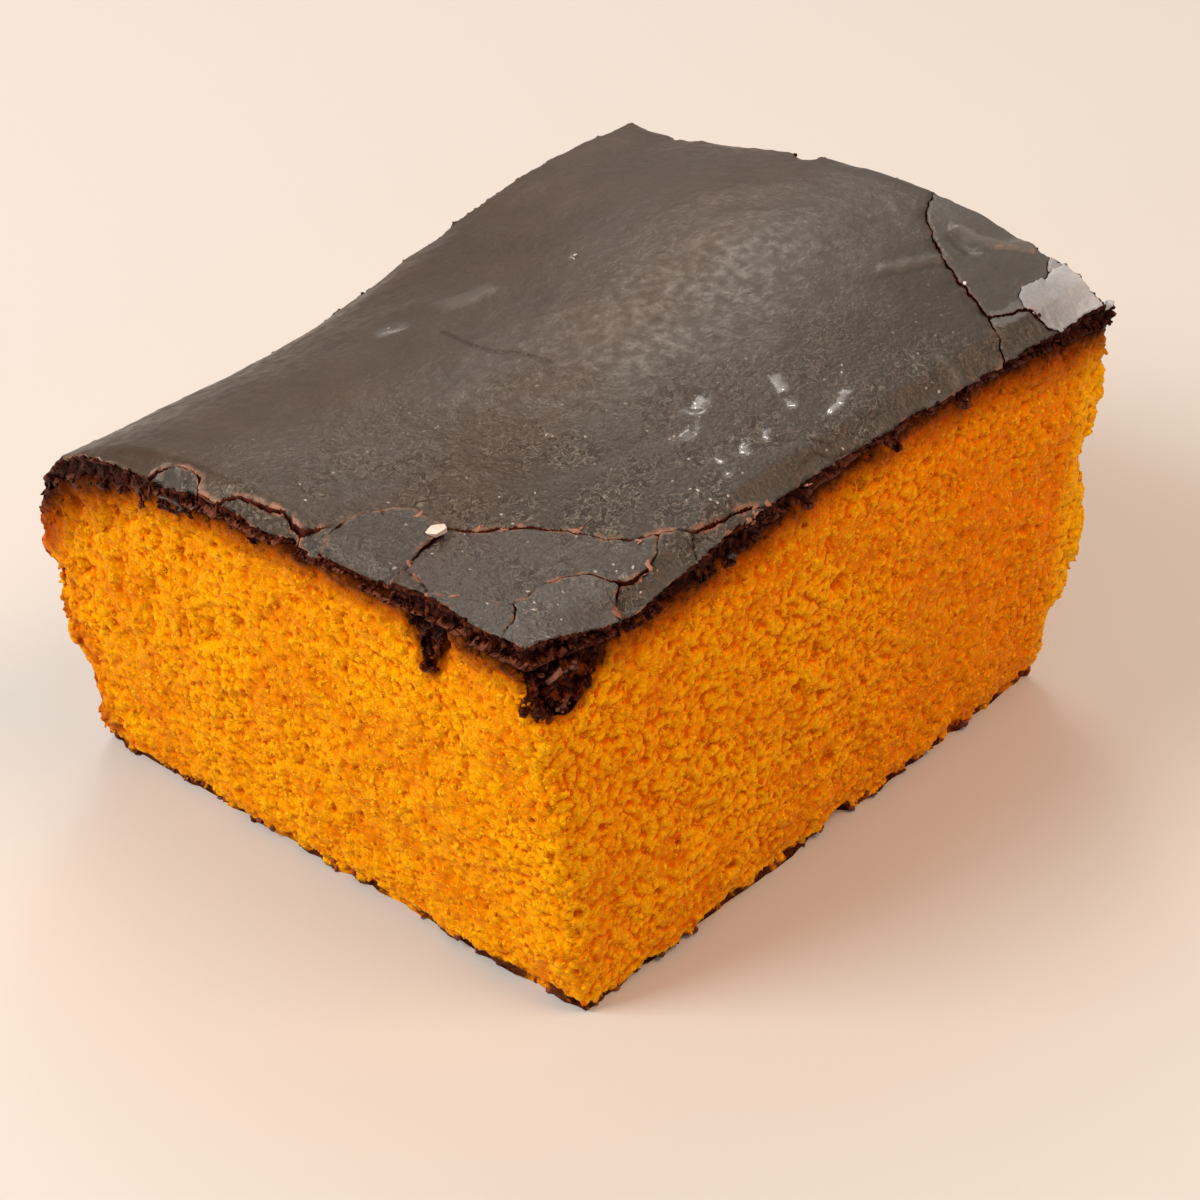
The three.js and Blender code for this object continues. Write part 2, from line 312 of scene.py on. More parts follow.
def is_vector(value):
    """Whether a value is a vector or a colour, and not a plain number."""
    if isinstance(value, Value):
        return value.socket.type in ("VECTOR", "RGBA")
    return isinstance(value, tuple)


def at(spot):
    """A place given in mm."""
    return tuple(Vector(spot) * MM)


class Graph:
    """A node tree being built. Most methods add one node, and give what comes out of it."""

    def __init__(self, tree):
        self.tree = tree

    def put(self, node, inputs):
        """Gives the inputs of a node their values or links."""
        for key, value in inputs.items():
            if isinstance(key, int):
                socket = node.inputs[key]
            else:
                socket = next(s for s in node.inputs if s.name == key and s.enabled)
            value = getattr(value, "socket", value)
            if isinstance(value, bpy.types.NodeSocket):
                self.tree.links.new(value, socket)
            else:
                socket.default_value = value

    def add(self, kind, inputs=None, **settings):
        node = self.tree.nodes.new(kind)
        for name, value in settings.items():
            setattr(node, name, value)
        self.put(node, inputs or {})
        return node

    def value(self, kind, inputs=None, output=0, **settings):
        return Value(self, self.add(kind, inputs, **settings).outputs[output])

    def math(self, operation, *values):
        return self.value("ShaderNodeMath", dict(enumerate(values)), operation=operation)

    def vector(self, operation, *values):
        output = "Value" if operation in ("DISTANCE", "LENGTH", "DOT_PRODUCT") else "Vector"
        inputs = dict(enumerate(values))
        return self.value("ShaderNodeVectorMath", inputs, output, operation=operation)

    def join(self, operation, a, b):
        """Numbers or vectors joined by an operation. A number times a vector scales it."""
        vectors = is_vector(a) + is_vector(b)
        if vectors == 1 and operation == "MULTIPLY":
            vector, scale = (a, b) if is_vector(a) else (b, a)
            inputs = {0: vector, "Scale": scale}
            return self.value("ShaderNodeVectorMath", inputs, operation="SCALE")
        return (self.vector if vectors else self.math)(operation, a, b)

    def most(self, *values):
        return functools.reduce(lambda a, b: self.math("MAXIMUM", a, b), values)

    def least(self, *values):
        return functools.reduce(lambda a, b: self.math("MINIMUM", a, b), values)

    def place(self):
        if self.tree.type == "GEOMETRY":
            return self.value("GeometryNodeInputPosition")
        return self.value("ShaderNodeTexCoord", output="Object")

    def normal(self):
        return self.value("GeometryNodeInputNormal")

    def combined(self, x, y, z):
        return self.value("ShaderNodeCombineXYZ", {0: x, 1: y, 2: z})

    def span(self, value, low, high, to_low=0.0, to_high=1.0):
        """Eases from to_low to to_high as value goes from low to high."""
        if low > high:
            low, high, to_low, to_high = high, low, to_high, to_low
        inputs = dict(enumerate((value, low, high, to_low, to_high)))
        return self.value("ShaderNodeMapRange", inputs, interpolation_type="SMOOTHSTEP")

    def noise(self, place, size, detail=2.0, rough=0.5, output=0):
        """Noise from 0 to 1 whose features are about size wide."""
        inputs = {"Vector": place, "Scale": 1 / size, "Detail": detail, "Roughness": rough}
        return self.value("ShaderNodeTexNoise", inputs, output)

    def swing(self, place, size, height, detail=2.0):
        """Noise from about -height to height."""
        return (self.noise(place, size, detail) - 0.5) * (3.2 * height)

    def cells(self, place, size):
        """Cells about size wide: the distance from their middles, and a chance for each cell."""
        node = self.add("ShaderNodeTexVoronoi", {"Vector": place, "Scale": 1 / size})
        return Value(self, node.outputs["Distance"]), Value(self, node.outputs["Color"]).x

    def shifted(self, place, size, amount):
        """The place moved a little by noise, which breaks up regular patterns."""
        shift = self.noise(place, size, 1.0, output="Color") - (0.5, 0.5, 0.5)
        return place + shift * ((2 * amount,) * 3)

    def mix(self, share, a, b):
        """A colour between a and b."""
        node = self.add("ShaderNodeMix", data_type="RGBA")
        share_socket, *colours = [i for i, s in enumerate(node.inputs) if s.enabled]
        self.put(node, {share_socket: share})
        for socket, colour in zip(colours, (a, b)):
            self.put(node, {socket: colour if isinstance(colour, Value) else (*colour, 1)})
        return Value(self, next(s for s in node.outputs if s.enabled))

    def between(self, share, a, b):
        """A value between a and b."""
        return self.value("ShaderNodeMix", {0: share, "A": a, "B": b}, data_type="FLOAT")

    def attribute(self, name):
        return self.value("ShaderNodeAttribute", output="Fac", attribute_name=name)

    def mottled(self, base, place, size, amount):
        """A colour made lighter and darker by fine mottling."""
        inputs = {"Color": base, "Place": place, "Size": size, "Amount": amount}
        return self.value("ShaderNodeGroup", inputs, node_tree=fine_mottling())

    def bump(self, height, unit=MM):
        """Normals bent by a height that is given in units."""
        return self.value("ShaderNodeBump", {"Height": height, "Distance": unit})

    def domes(self, place, size, height):
        """Rounded lumps about size wide, with narrow valleys between them."""
        away, _ = self.cells(place, size)
        return (0.4 - away**2.0 * 1.6) * height

    def blur(self, value, steps, kind="FLOAT", weight=1.0):
        inputs = {"Value": value, "Iterations": steps, "Weight": weight}
        return self.value("GeometryNodeBlurAttribute", inputs, data_type=kind)


def new_material(name):
    """A material, and the graph of its nodes."""
    material = bpy.data.materials.new(name)
    material.use_nodes = True
    return material, Graph(material.node_tree)


def shade(graph, colour, rough, **others):
    """Gives the shader of a material its colour and roughness, and what else it takes."""
    inputs = {name.replace("_", " "): value for name, value in others.items()}
    shader = graph.tree.nodes["Principled BSDF"]
    graph.put(shader, {"Base Color": colour, "Roughness": rough, **inputs})


def apply_shape(piece, build, *values):
    """Changes a piece by Geometry Nodes. build(graph, geometry, *values) gives the new shape."""
    name = build.__name__.replace("_", " ").capitalize()
    tree = bpy.data.node_groups.new(name, "GeometryNodeTree")
    for side in ("INPUT", "OUTPUT"):
        tree.interface.new_socket("Geometry", in_out=side, socket_type="NodeSocketGeometry")
    graph = Graph(tree)
    start = tree.nodes.new("NodeGroupInput")
    end = tree.nodes.new("NodeGroupOutput")
    graph.put(end, {0: build(graph, start.outputs[0], *values)})
    apply_modifier(piece, "NODES", node_group=tree)


def store(g, geometry, name, value):
    inputs = {"Geometry": geometry, "Name": name, "Value": value}
    return g.value("GeometryNodeStoreNamedAttribute", inputs, data_type="FLOAT", domain="POINT")


def named(g, name):
    return g.value("GeometryNodeInputNamedAttribute", {"Name": name}, data_type="FLOAT")


def move(g, geometry, vector, how="Offset"):
    """Moves the points by an offset or, where how is Position, to a place."""
    return g.value("GeometryNodeSetPosition", {"Geometry": geometry, how: vector})


def keep_in_box(g, geometry):
    """Holds every point inside the CAD box."""
    low, high = CAD_BOX
    place = g.vector("MINIMUM", g.vector("MAXIMUM", g.place(), low), high)
    return move(g, geometry, place, "Position")


def nearest_to(g, names, upper=False):
    """Distance to these CAD nodes, or to their upper faces, and the nearest place on them."""
    joined = g.add("GeometryNodeJoinGeometry")
    for name in names:
        node = {"Object": frame["nodes"][name]}
        g.put(joined, {0: g.value("GeometryNodeObjectInfo", node, "Geometry")})
    target = joined.outputs[0]
    if upper:
        inputs = {"Geometry": target, "Selection": g.normal().z < 0.6}
        target = g.value("GeometryNodeDeleteGeometry", inputs, domain="FACE")
    near = g.add("GeometryNodeProximity", {0: target, "Sample Position": g.place()})
    return Value(g, near.outputs["Distance"]), Value(g, near.outputs["Position"])


def distance_to(g, names):
    distance, _ = nearest_to(g, names)
    return distance


def fine_mottling():
    """The shader group of fine mottling, which crumb and chocolate share."""
    name = "Fine mottling"
    if name in bpy.data.node_groups:
        return bpy.data.node_groups[name]
    tree = bpy.data.node_groups.new(name, "ShaderNodeTree")
    for label, kind, value in (
        ("Color", "NodeSocketColor", (0.5, 0.5, 0.5, 1)),
        ("Place", "NodeSocketVector", (0, 0, 0)),
        ("Size", "NodeSocketFloat", 0.5 * MM),
        ("Amount", "NodeSocketFloat", 0.1),
    ):
        socket = tree.interface.new_socket(label, in_out="INPUT", socket_type=kind)
        socket.default_value = value
    tree.interface.new_socket("Color", in_out="OUTPUT", socket_type="NodeSocketColor")
    g = Graph(tree)
    start = tree.nodes.new("NodeGroupInput").outputs
    colour, place, size, amount = (Value(g, socket) for socket in start[:4])
    factor = 1.0 + (g.noise(place, size, 3.0, 0.65) - 0.5) * 4.0 * amount
    g.put(tree.nodes.new("NodeGroupOutput"), {0: colour * g.most(factor, 0.2)})
    return tree


# ---- Sponge ----

# Lumps of crumb at the sides of the hollow below the front corner: centre and radius in mm.
CORNER_CRUMB = (
    ((28.0, -39.7, 43.0), 1.3),
    ((28.6, -39.8, 41.6), 1.2),
    ((29.2, -40.0, 40.6), 0.8),
    ((30.7, -34.0, 37.2), 1.4),
    ((30.9, -32.8, 38.4), 1.0),
)
# Where the outer edges are torn back, or stand out: place, radius and height in mm.
BITES = (
    ((39.3, 42.0, 30.0), 4.0, -1.7),
    ((38.9, 42.0, 18.5), 5.5, 0.8),
    ((38.1, 40.6, 7.8), 3.0, -1.5),
    ((39.5, 42.0, 39.0), 4.0, 0.6),
    ((-38.6, -42.0, 23.0), 4.0, -1.5),
    ((-37.6, -41.8, 14.8), 2.6, 0.5),
    ((-36.4, -41.2, 10.5), 2.6, -0.8),
    ((-38.6, -42.4, 31.0), 3.0, 0.4),
)


def rounded_edges(g, geometry, settings):
    """Rounds the upright edges of the block: its sides are evened out level, and take the rims
    of the top and the base along. The corners under the glaze stay as they are."""
    place = g.place()
    geometry = store(g, geometry, "side", g.span(abs(g.normal().z), 0.85, 0.55))
    side = named(g, "side")
    steps = round(1.1 * (settings.edge / settings.coarse) ** 2)
    even = g.blur(place, steps, "FLOAT_VECTOR", side)
    level = (even - place) * (1, 1, 0)
    fade = g.span(distance_to(g, [SLAB, *PLATES]), 0.5 * MM, 6 * MM)
    # The outer edges at the left and the right are sharper than the front corner.
    fade *= g.span(place.x * place.y, -300 * MM**2, 300 * MM**2, 1.0, 0.4)
    return move(g, geometry, g.blur(level * fade, 8, "FLOAT_VECTOR", 1.0 - side))


def torn_crumb(g, geometry, settings):
    """Turns smooth cut faces into torn crumb: slow waves, lumps, fine crumb and pores."""
    place = g.place()
    normal = g.normal()
    up = normal.z
    geometry = store(g, geometry, "side", g.span(abs(up), 0.85, 0.55))
    # The runs stain the crumb much less than the glaze does.
    clean = g.vector("DISTANCE", place, at(CORNER_CRUMB[1][0]))
    clean = g.span(clean, 2.8 * MM, 1.6 * MM, 1.2 * MM, 4.0 * MM)
    runs = distance_to(g, RUNS) * 3.0 + clean
    geometry = store(g, geometry, "soak", g.least(distance_to(g, [SLAB, *PLATES]), runs))
    for name, sign in (("right", 1), ("left", -1)):
        facing = g.span(g.blur(normal.x, 12), sign * 0.3, sign * 0.75)
        geometry = store(g, geometry, name, facing)
    side, soak = named(g, "side"), named(g, "soak")

    loose = g.shifted(place, 2.4 * MM, 0.5 * MM)
    tear = g.swing(place, 6 * MM, settings.tear, 3.0)
    lumps = g.domes(loose, settings.lump_size, settings.lump)
    lumps += g.domes(loose, 0.5 * settings.lump_size, 0.45 * settings.lump)
    # The lumps are lower in places, and on the side that was against the tray.
    calm = g.span(g.noise(place, 9 * MM, 1.0), 0.35, 0.65, 0.6, 1.0)
    lumps *= calm * g.span(normal.x, -0.9, -0.5, 0.4, 1.0)
    fine = g.swing(place, 0.45 * MM, settings.fine, 1.0)

    pores = []
    for size, share in ((settings.pore_spacing, 1.0), (0.5 * settings.pore_spacing, 0.6)):
        away, chance = g.cells(g.shifted(place, 1.6 * MM, 0.6 * MM), size)
        radius = g.span(chance, 0.5, 1.0, 0.0, 0.34)
        inside = away / (radius + 0.001)
        pores.append(g.span(inside, 1.0, 0.2, 0.0, share * settings.pore))
    height = lumps + fine + tear - sum(pores)

    for spot, radius, rise in BITES:
        away = g.vector("DISTANCE", place, at(spot))
        height += g.span(away, radius * MM, 0.0, 0.0, rise * MM)
    # The crumb stands in a little, except under the glaze, which it reaches.
    height -= g.span(soak, 0.3 * MM, 2.2 * MM) * (0.25 * MM)
    # The foot is broken away here and there.
    foot = g.span(place.z, 2.4 * MM, 0.2 * MM)
    broken = g.span(g.noise(place, 2.6 * MM, 3.0), 0.4, 0.65, 0.0, 1.6 * MM)
    height -= foot * broken
    offset = g.blur(normal * (height * side), 12, "FLOAT_VECTOR", 1.0 - side)
    # The base stays on the floor, and the upper rim swells up under the lip of the glaze.
    offset *= g.combined(1.0, 1.0, g.span(place.z, 0.0, MM))
    swollen = g.span(g.noise(place, 2.2 * MM, 3.0), 0.35, 0.65, 0.1 * MM, settings.swell)
    rise = g.span(soak, 2.0 * MM, 0.5 * MM) * swollen * (up > -0.3)
    geometry = keep_in_box(g, move(g, geometry, offset + g.combined(0.0, 0.0, rise)))
    return store(g, geometry, "relief", bulge(g, 12))


def bulge(g, steps):
    """How far each point stands out from the evened surface, in mm; negative in hollows."""
    place = g.place()
    return (place - g.blur(place, steps, "FLOAT_VECTOR")).dot(g.normal()) * 1000


def crumb_material(settings):
    material, g = new_material("Moist orange crumb")
    place = g.place()

    # The painted shade and highlight of the lumps are stronger on the right face, except at its
    # far end.
    right = g.attribute("right")
    clear = right * g.span(place.y, 30 * MM, -10 * MM)
    relief = g.attribute("relief") * (1.0 + clear * 0.8)
    patches = g.noise(place, 4 * MM, 4.0)
    base = g.mix(g.span(patches, 0.4, 0.65), settings.crumb, settings.pale)
    # Darker patches are redder, and paler ones yellower, most of all on the right face.
    slow = g.noise(place, 3.6 * MM)
    base = g.mix(g.span(slow, 0.50, 0.34, 0.0, 0.5), base, settings.deep)
    base = g.mix(g.span(slow, 0.50, 0.66, 0.0, 0.6), base, settings.pale)
    wide = g.noise(place, 9 * MM)
    dim = g.span(wide, 0.52, 0.38, 0.0, 0.45) * g.span(right, 0.0, 1.0, 0.5, 1.0)
    base = g.mix(dim, base, settings.deep)
    base = g.mix(g.span(wide, 0.50, 0.64, 0.0, 0.4), base, settings.pale)
    # The far end of the right face is more orange.
    back = g.span(place.y, -10 * MM, 40 * MM) * right
    broad = g.span(g.noise(place, 11 * MM), 0.42, 0.62)
    orange = back * 0.5 + broad * right * 0.4
    base = g.mix(orange, base, settings.far)
    # Its very edge gets a yellower colour: a painted glow, as of light shining through the thin
    # crumb.
    edge = place.y + g.swing(place, 3 * MM, 1.2 * MM)
    edge = g.span(edge, 35 * MM, 39.5 * MM) * g.span(place.x, 30 * MM, 36 * MM)
    base = g.mix(edge, base, (1.0, 0.47, 0.004))
    # Painted shade: the hollows between the lumps, and the pores, get the deep colour.
    base = g.mix(g.span(relief, 0.02, -0.2), base, settings.deep)
    # Painted highlight: the tops of the lumps get the paler crest colour.
    highlight_rise = relief + g.swing(place, 0.6 * MM, 0.04)
    base = g.mix(g.span(highlight_rise, 0.04, 0.24, 0.0, 0.6), base, settings.crest)
    # Thin walls between the cells of the crumb, raised a little in the bump, get the crest colour
    # as a painted highlight.
    winding = g.noise(g.shifted(place, 1.2 * MM, 0.5 * MM), 0.7 * MM, 1.0)
    wall = g.span(abs(winding - 0.5), 0.045, 0.01)
    base = g.mix(wall * 0.7, base, settings.crest)
    # Painted shade: the lows of the fine bump get the deep colour.
    fine = g.noise(place, 0.4 * MM, 3.0, 0.6)
    base = g.mix(g.span(fine, 0.52, 0.34, 0.0, 0.35), base, settings.deep)

    # Browned patches on the side that was against the tray.
    left = place.x + place.z * 0.12
    left += g.swing(place, 3 * MM, 0.9 * MM)
    left = g.span(left, CAD_BOX[0][0] + 10.5 * MM, CAD_BOX[0][0] + 5.5 * MM)
    left = g.most(left, g.attribute("left"))
    patch = g.span(g.noise(place, 5 * MM, 4.0), 0.30, 0.66)
    base = g.mix(left * patch * 0.75, base, settings.tinged)
    patch = g.span(g.noise(place, 3.4 * MM, 5.0), 0.46, 0.68)
    base = g.mix(left * patch * 0.85, base, settings.baked)

    # Crust at the base.
    height = place.z + g.swing(place, 1.6 * MM, 0.8 * MM, 3.0)
    corner = g.vector("LENGTH", place - (27 * MM, -39 * MM, 0))
    height -= g.span(corner, 9 * MM, 4 * MM, 0.0, 1.1 * MM)
    crust = g.span(height, settings.crust, 0.45 * settings.crust)
    kept = g.span(g.noise(place, 6 * MM), 0.38, 0.5)
    base = g.mix(crust * kept, base, settings.browned)

    # Chocolate that has soaked in under the glaze, with a wider halo below it that is partly stain
    # and partly painted shadow under the lip of the glaze.
    # Both reach further down towards the far end of the right face.
    reach = g.attribute("soak") + g.swing(place, 1.0 * MM, 0.35 * MM, 3.0)
    reach += g.swing(place, 2.8 * MM, 0.5 * MM, 1.0)
    reach *= g.span(back, 0.0, 1.0, 1.0, 0.7)
    reach *= g.span(place.x, -27 * MM, -20 * MM, 0.6, 1.0)
    stain_and_lip_shadow = g.span(reach, 3.2 * settings.soak, 0.75 * settings.soak)
    base = g.mix(stain_and_lip_shadow * 0.85, base, settings.stained)
    soaked = g.span(reach, 1.3 * settings.soak, 0.1 * settings.soak)
    base = g.mix(soaked, base, (0.040, 0.0065, 0.0015))

    shade(
        g,
        g.mottled(base, place, 0.5 * MM, 0.12),
        g.span(g.noise(place, 0.8 * MM), 0.35, 0.65, 0.2, 0.5),
        Normal=g.bump(fine * 0.12 + wall * 0.08),
        Specular_IOR_Level=0.03,
        Specular_Tint=(1.0, 0.62, 0.08, 1),
    )
    return material


def thin(piece, chosen, cut):
    """Joins up about a share cut of the faces around the chosen vertices."""
    group = piece.vertex_groups.new(name="chosen")
    group.add(chosen, 1.0, "REPLACE")
    share = len(chosen) / len(piece.data.vertices)
    apply_modifier(piece, "DECIMATE", ratio=1 - cut * share, vertex_group="chosen")
    piece.vertex_groups.clear()


def cut_in_two(piece, normal, names):
    """Two closed halves of a piece, on the positive and the negative side of an upright plane."""
    other = piece.copy()
    other.data = piece.data.copy()
    bpy.context.scene.collection.objects.link(other)
    for half, name, sign in ((piece, names[0], 1), (other, names[1], -1)):
        half.name = half.data.name = name
        activate(half)
        with editing():
            bpy.ops.mesh.bisect(
                plane_co=(0, 0, 0),
                plane_no=sign * normal.normalized(),
                threshold=1e-7,
                use_fill=True,
                clear_inner=True,
            )
            bpy.ops.mesh.mark_sharp()
    return piece, other


class CAKE_OT_sponge(bpy.types.Operator):
    """Model the torn faces of the sponge, in a quarter for each face"""

    bl_idname = "cake.sponge"
    bl_label = "Sponge"

    def execute(self, context):
        settings = context.scene.cake_sponge
        whole = add_lumps(copy_of("sponge", "sponge_whole"), CORNER_CRUMB)
        apply_modifier(whole, "REMESH", mode="VOXEL", voxel_size=settings.coarse)
        apply_shape(whole, rounded_edges, settings)
        apply_modifier(whole, "REMESH", mode="VOXEL", voxel_size=settings.grid)
        apply_shape(whole, torn_crumb, settings)
        sides = whole.data.attributes["side"].data
        # The glaze and the floor cover the top and the base, so these need few faces.
        thin(whole, [i for i, item in enumerate(sides) if item.value < 0.02], 0.95)
        apply_shape(whole, keep_in_box)
        low, high = CAD_BOX
        wide, long = high[0] - low[0], high[1] - low[1]
        near, far = cut_in_two(whole, Vector((long, -wide, 0)), ("near", "far"))
        diagonal = Vector((long, wide, 0))
        quarters = (
            *cut_in_two(near, diagonal, ("sponge_right", "sponge_front")),
            *cut_in_two(far, diagonal, ("sponge_back", "sponge_left")),
        )
        material = crumb_material(settings)
        for quarter in quarters:
            finish_piece(quarter, material, "sponge", "sponge")
        return {"FINISHED"}


# ---- Loose grains ----

GRAIN_SIZES = ((1.0, 0.8, 0.65), (1.25, 0.7, 0.6), (0.9, 0.95, 0.8), (1.4, 0.6, 0.5))


def grain_shapes(seed):
    """A few small rough grains of unit size, kept in a collection of their own."""
    shapes = bpy.data.collections.new("Grain shapes")
    bpy.context.scene.collection.children.link(shapes)
    for i, size in enumerate(GRAIN_SIZES):
        deselect()
        bpy.ops.mesh.primitive_ico_sphere_add(subdivisions=1, radius=1, location=(0, 0, 0))
        grain = bpy.context.active_object
        grain.name = f"grain_shape_{i}"
        with editing():
            bpy.ops.transform.resize(value=size)
            bpy.ops.transform.vertex_random(offset=0.22, seed=seed + i)
        for collection in grain.users_collection:
            collection.objects.unlink(grain)
        shapes.objects.link(grain)
    return shapes


def scattered(g, _, surface, choose, density, size, seed, tones, sink, shapes):
    """Grains scattered on the faces of surface that choose(graph) picks.

    Each grain keeps a tone of its own, between the two that tones gives."""
    mesh = g.value("GeometryNodeObjectInfo", {"Object": surface}, "Geometry")
    inputs = {"Mesh": mesh, "Selection": choose(g), "Density": density / MM**2, "Seed": seed}
    points = g.add(
        "GeometryNodeDistributePointsOnFaces", inputs, distribute_method="RANDOM"
    ).outputs
    placed = move(g, points["Points"], Value(g, points["Normal"]) * (-sink * size))
    placed = store(g, placed, "relief", random_value(g, *tones, seed + 3))
    placed = store(g, placed, "broken", 1.0)
    inputs = {"Collection": shapes, "Separate Children": True, "Reset Children": True}
    grains = g.value("GeometryNodeCollectionInfo", inputs)
    inputs = {"Min": (0, 0, 0), "Max": (math.tau,) * 3, "Seed": seed + 1}
    turn = g.value("FunctionNodeRandomValue", inputs, data_type="FLOAT_VECTOR")
    scale = (0.5 + random_value(g, 0.0, 1.0, seed + 2) ** 2.0) * size
    inputs = {"Points": placed, "Instance": grains, "Pick Instance": True}
    inputs |= {"Rotation": turn, "Scale": scale}
    instances = g.value("GeometryNodeInstanceOnPoints", inputs)
    return keep_in_box(g, g.value("GeometryNodeRealizeInstances", {0: instances}))


def random_value(g, low, high, seed):
    inputs = {"Min": low, "Max": high, "Seed": seed}
    return g.value("FunctionNodeRandomValue", inputs, 1, data_type="FLOAT")


def scatter_piece(name, heaps, shapes, material, slot):
    """One piece made of several heaps of grains, each with its own surface and settings."""
    parts = []
    for heap in heaps:
        deselect()
        bpy.ops.mesh.primitive_plane_add(size=MM)
        part = bpy.context.active_object
        apply_shape(part, scattered, *heap, shapes)
        parts.append(part)
    finish_piece(join(parts, name), material, slot)


def on_crumb(g):
    """Chooses the torn faces, clear of the glaze."""
    return (named(g, "soak") > 0.6 * MM) * (named(g, "side") > 0.5)


def at_foot(g):
    """Chooses the lowest part of the torn faces."""
    return (g.place().z < 1.3 * MM) * (named(g, "side") > 0.5)


def under_glaze(g):
    """Chooses the crumb just below the glaze."""
    return (named(g, "soak") < 0.8 * MM) * (named(g, "side") > 0.5)


def on_break(g):
    """Chooses the broken faces of the glaze, but not the walls of cracks."""
    return (named(g, "broken") > 0.6) * (named(g, "wall") < 0.1)


def on_lumps(g):
    """Chooses the tops of the lumps in the runs."""
    return named(g, "relief") > 0.2


class CAKE_OT_grains(bpy.types.Operator):
    """Scatter loose grains of crumb, of crust and of broken chocolate"""

    bl_idname = "cake.grains"
    bl_label = "Loose grains"

    def execute(self, context):
        settings = context.scene.cake_grains
        seed = settings.seed
        shapes = grain_shapes(seed)
        quarters = {n: bpy.data.objects["sponge_" + n] for n in ("front", "right", "left", "back")}
        crumb = quarters["front"].data.materials[0]
        for side, share in (("front", 1.0), ("right", 0.9), ("left", 0.5), ("back", 0.6)):
            seed += 10
            density = share * settings.density
            heap = (quarters[side], on_crumb, density, settings.size, seed, (-0.2, 0.5), 0.35)
            scatter_piece(f"crumb_grains_{side}", [heap], shapes, crumb, "sponge")

        crust = []
        for quarter in quarters.values():
            seed += 10
            crust.append((quarter, at_foot, 0.8, 1.2 * settings.size, seed, (-0.4, 0.5), 0.1))
        browned = crust_material(context.scene.cake_sponge)
        scatter_piece("crust_bits", crust, shapes, browned, "sponge")

        bits = []
        for name, choose, density, size in (
            ("glaze_top", on_break, 1.1, 1.0),
            ("glaze_plates", on_break, 1.1, 1.0),
            ("glaze_runs", on_lumps, 0.5, 2.0),
            *((quarter.name, under_glaze, 0.7, 0.9) for quarter in quarters.values()),
        ):
            seed += 10
            size *= settings.chocolate
            bits.append((bpy.data.objects[name], choose, density, size, seed, (-0.3, 1.0), 0.2))
        broken = bpy.data.objects["glaze_top"].data.materials[1]
        scatter_piece("chocolate_bits", bits, shapes, broken, "glaze")
        for grain in list(shapes.objects):
            bpy.data.objects.remove(grain)
        bpy.data.collections.remove(shapes)
        return {"FINISHED"}


def crust_material(settings):
    material, g = new_material("Browned crust")
    base = g.mix(g.span(g.attribute("relief"), -0.4, 0.5), settings.browned, settings.baked)
    shade(g, base, 0.45, Specular_IOR_Level=0.3)
    return material


# ---- Glaze ----

# Places on the glaze are shares of the sheet's width and length; widths and depths are in mm.
HAIR_CRACKS = (
    ((0.334, 0.417), (0.411, 0.402), (0.454, 0.404), (0.487, 0.416), (0.539, 0.418)),
    ((0.930, 0.464), (0.932, 0.488), (0.947, 0.502), (0.959, 0.539), (0.972, 0.597)),
    ((0.916, 0.498), (0.937, 0.512)),
)
FOLDS = (
    (((0.707, 0.258), (0.751, 0.306), (0.793, 0.397)), 1.6, 0.07),
    (((0.783, 0.792), (0.807, 0.836), (0.823, 0.869)), 1.1, 0.22),
    (((0.803, 0.925), (0.844, 0.928), (0.891, 0.967)), 1.4, 0.42),
    (((0.812, 0.905), (0.840, 0.900)), 1.3, -0.35),
    (((0.950, 0.716), (0.974, 0.716)), 1.2, 0.25),
    (((0.974, 0.657), (0.986, 0.675)), 0.9, 0.20),
    (((0.288, 0.474), (0.307, 0.496), (0.312, 0.517)), 2.2, 0.22),
)
DENTS = (
    (((0.750, 0.468), (0.758, 0.452)), 1.5, 0.34),
    (((0.774, 0.420), (0.781, 0.405)), 1.5, 0.34),
    (((0.801, 0.547), (0.820, 0.540)), 1.2, 0.16),
    (((0.838, 0.530), (0.851, 0.525)), 1.0, 0.20),
    (((0.885, 0.590), (0.897, 0.550)), 1.0, 0.20),
    (((0.850, 0.440), (0.862, 0.425)), 0.9, 0.24),
    (((0.838, 0.400), (0.850, 0.396)), 0.8, 0.22),
    (((0.862, 0.392), (0.875, 0.388)), 0.8, 0.22),
    (((0.860, 0.470), (0.868, 0.462)), 0.8, 0.16),
    (((0.248, 0.398), (0.260, 0.405)), 1.6, 0.14),
    (((0.385, 0.617), (0.388, 0.617)), 0.4, 0.30),
)
# A strip that is a little paler, in front of the cracks near the far corner.
BLOOMED_STRIP = ((0.950, 0.824), (0.953, 0.851), (0.958, 0.878))
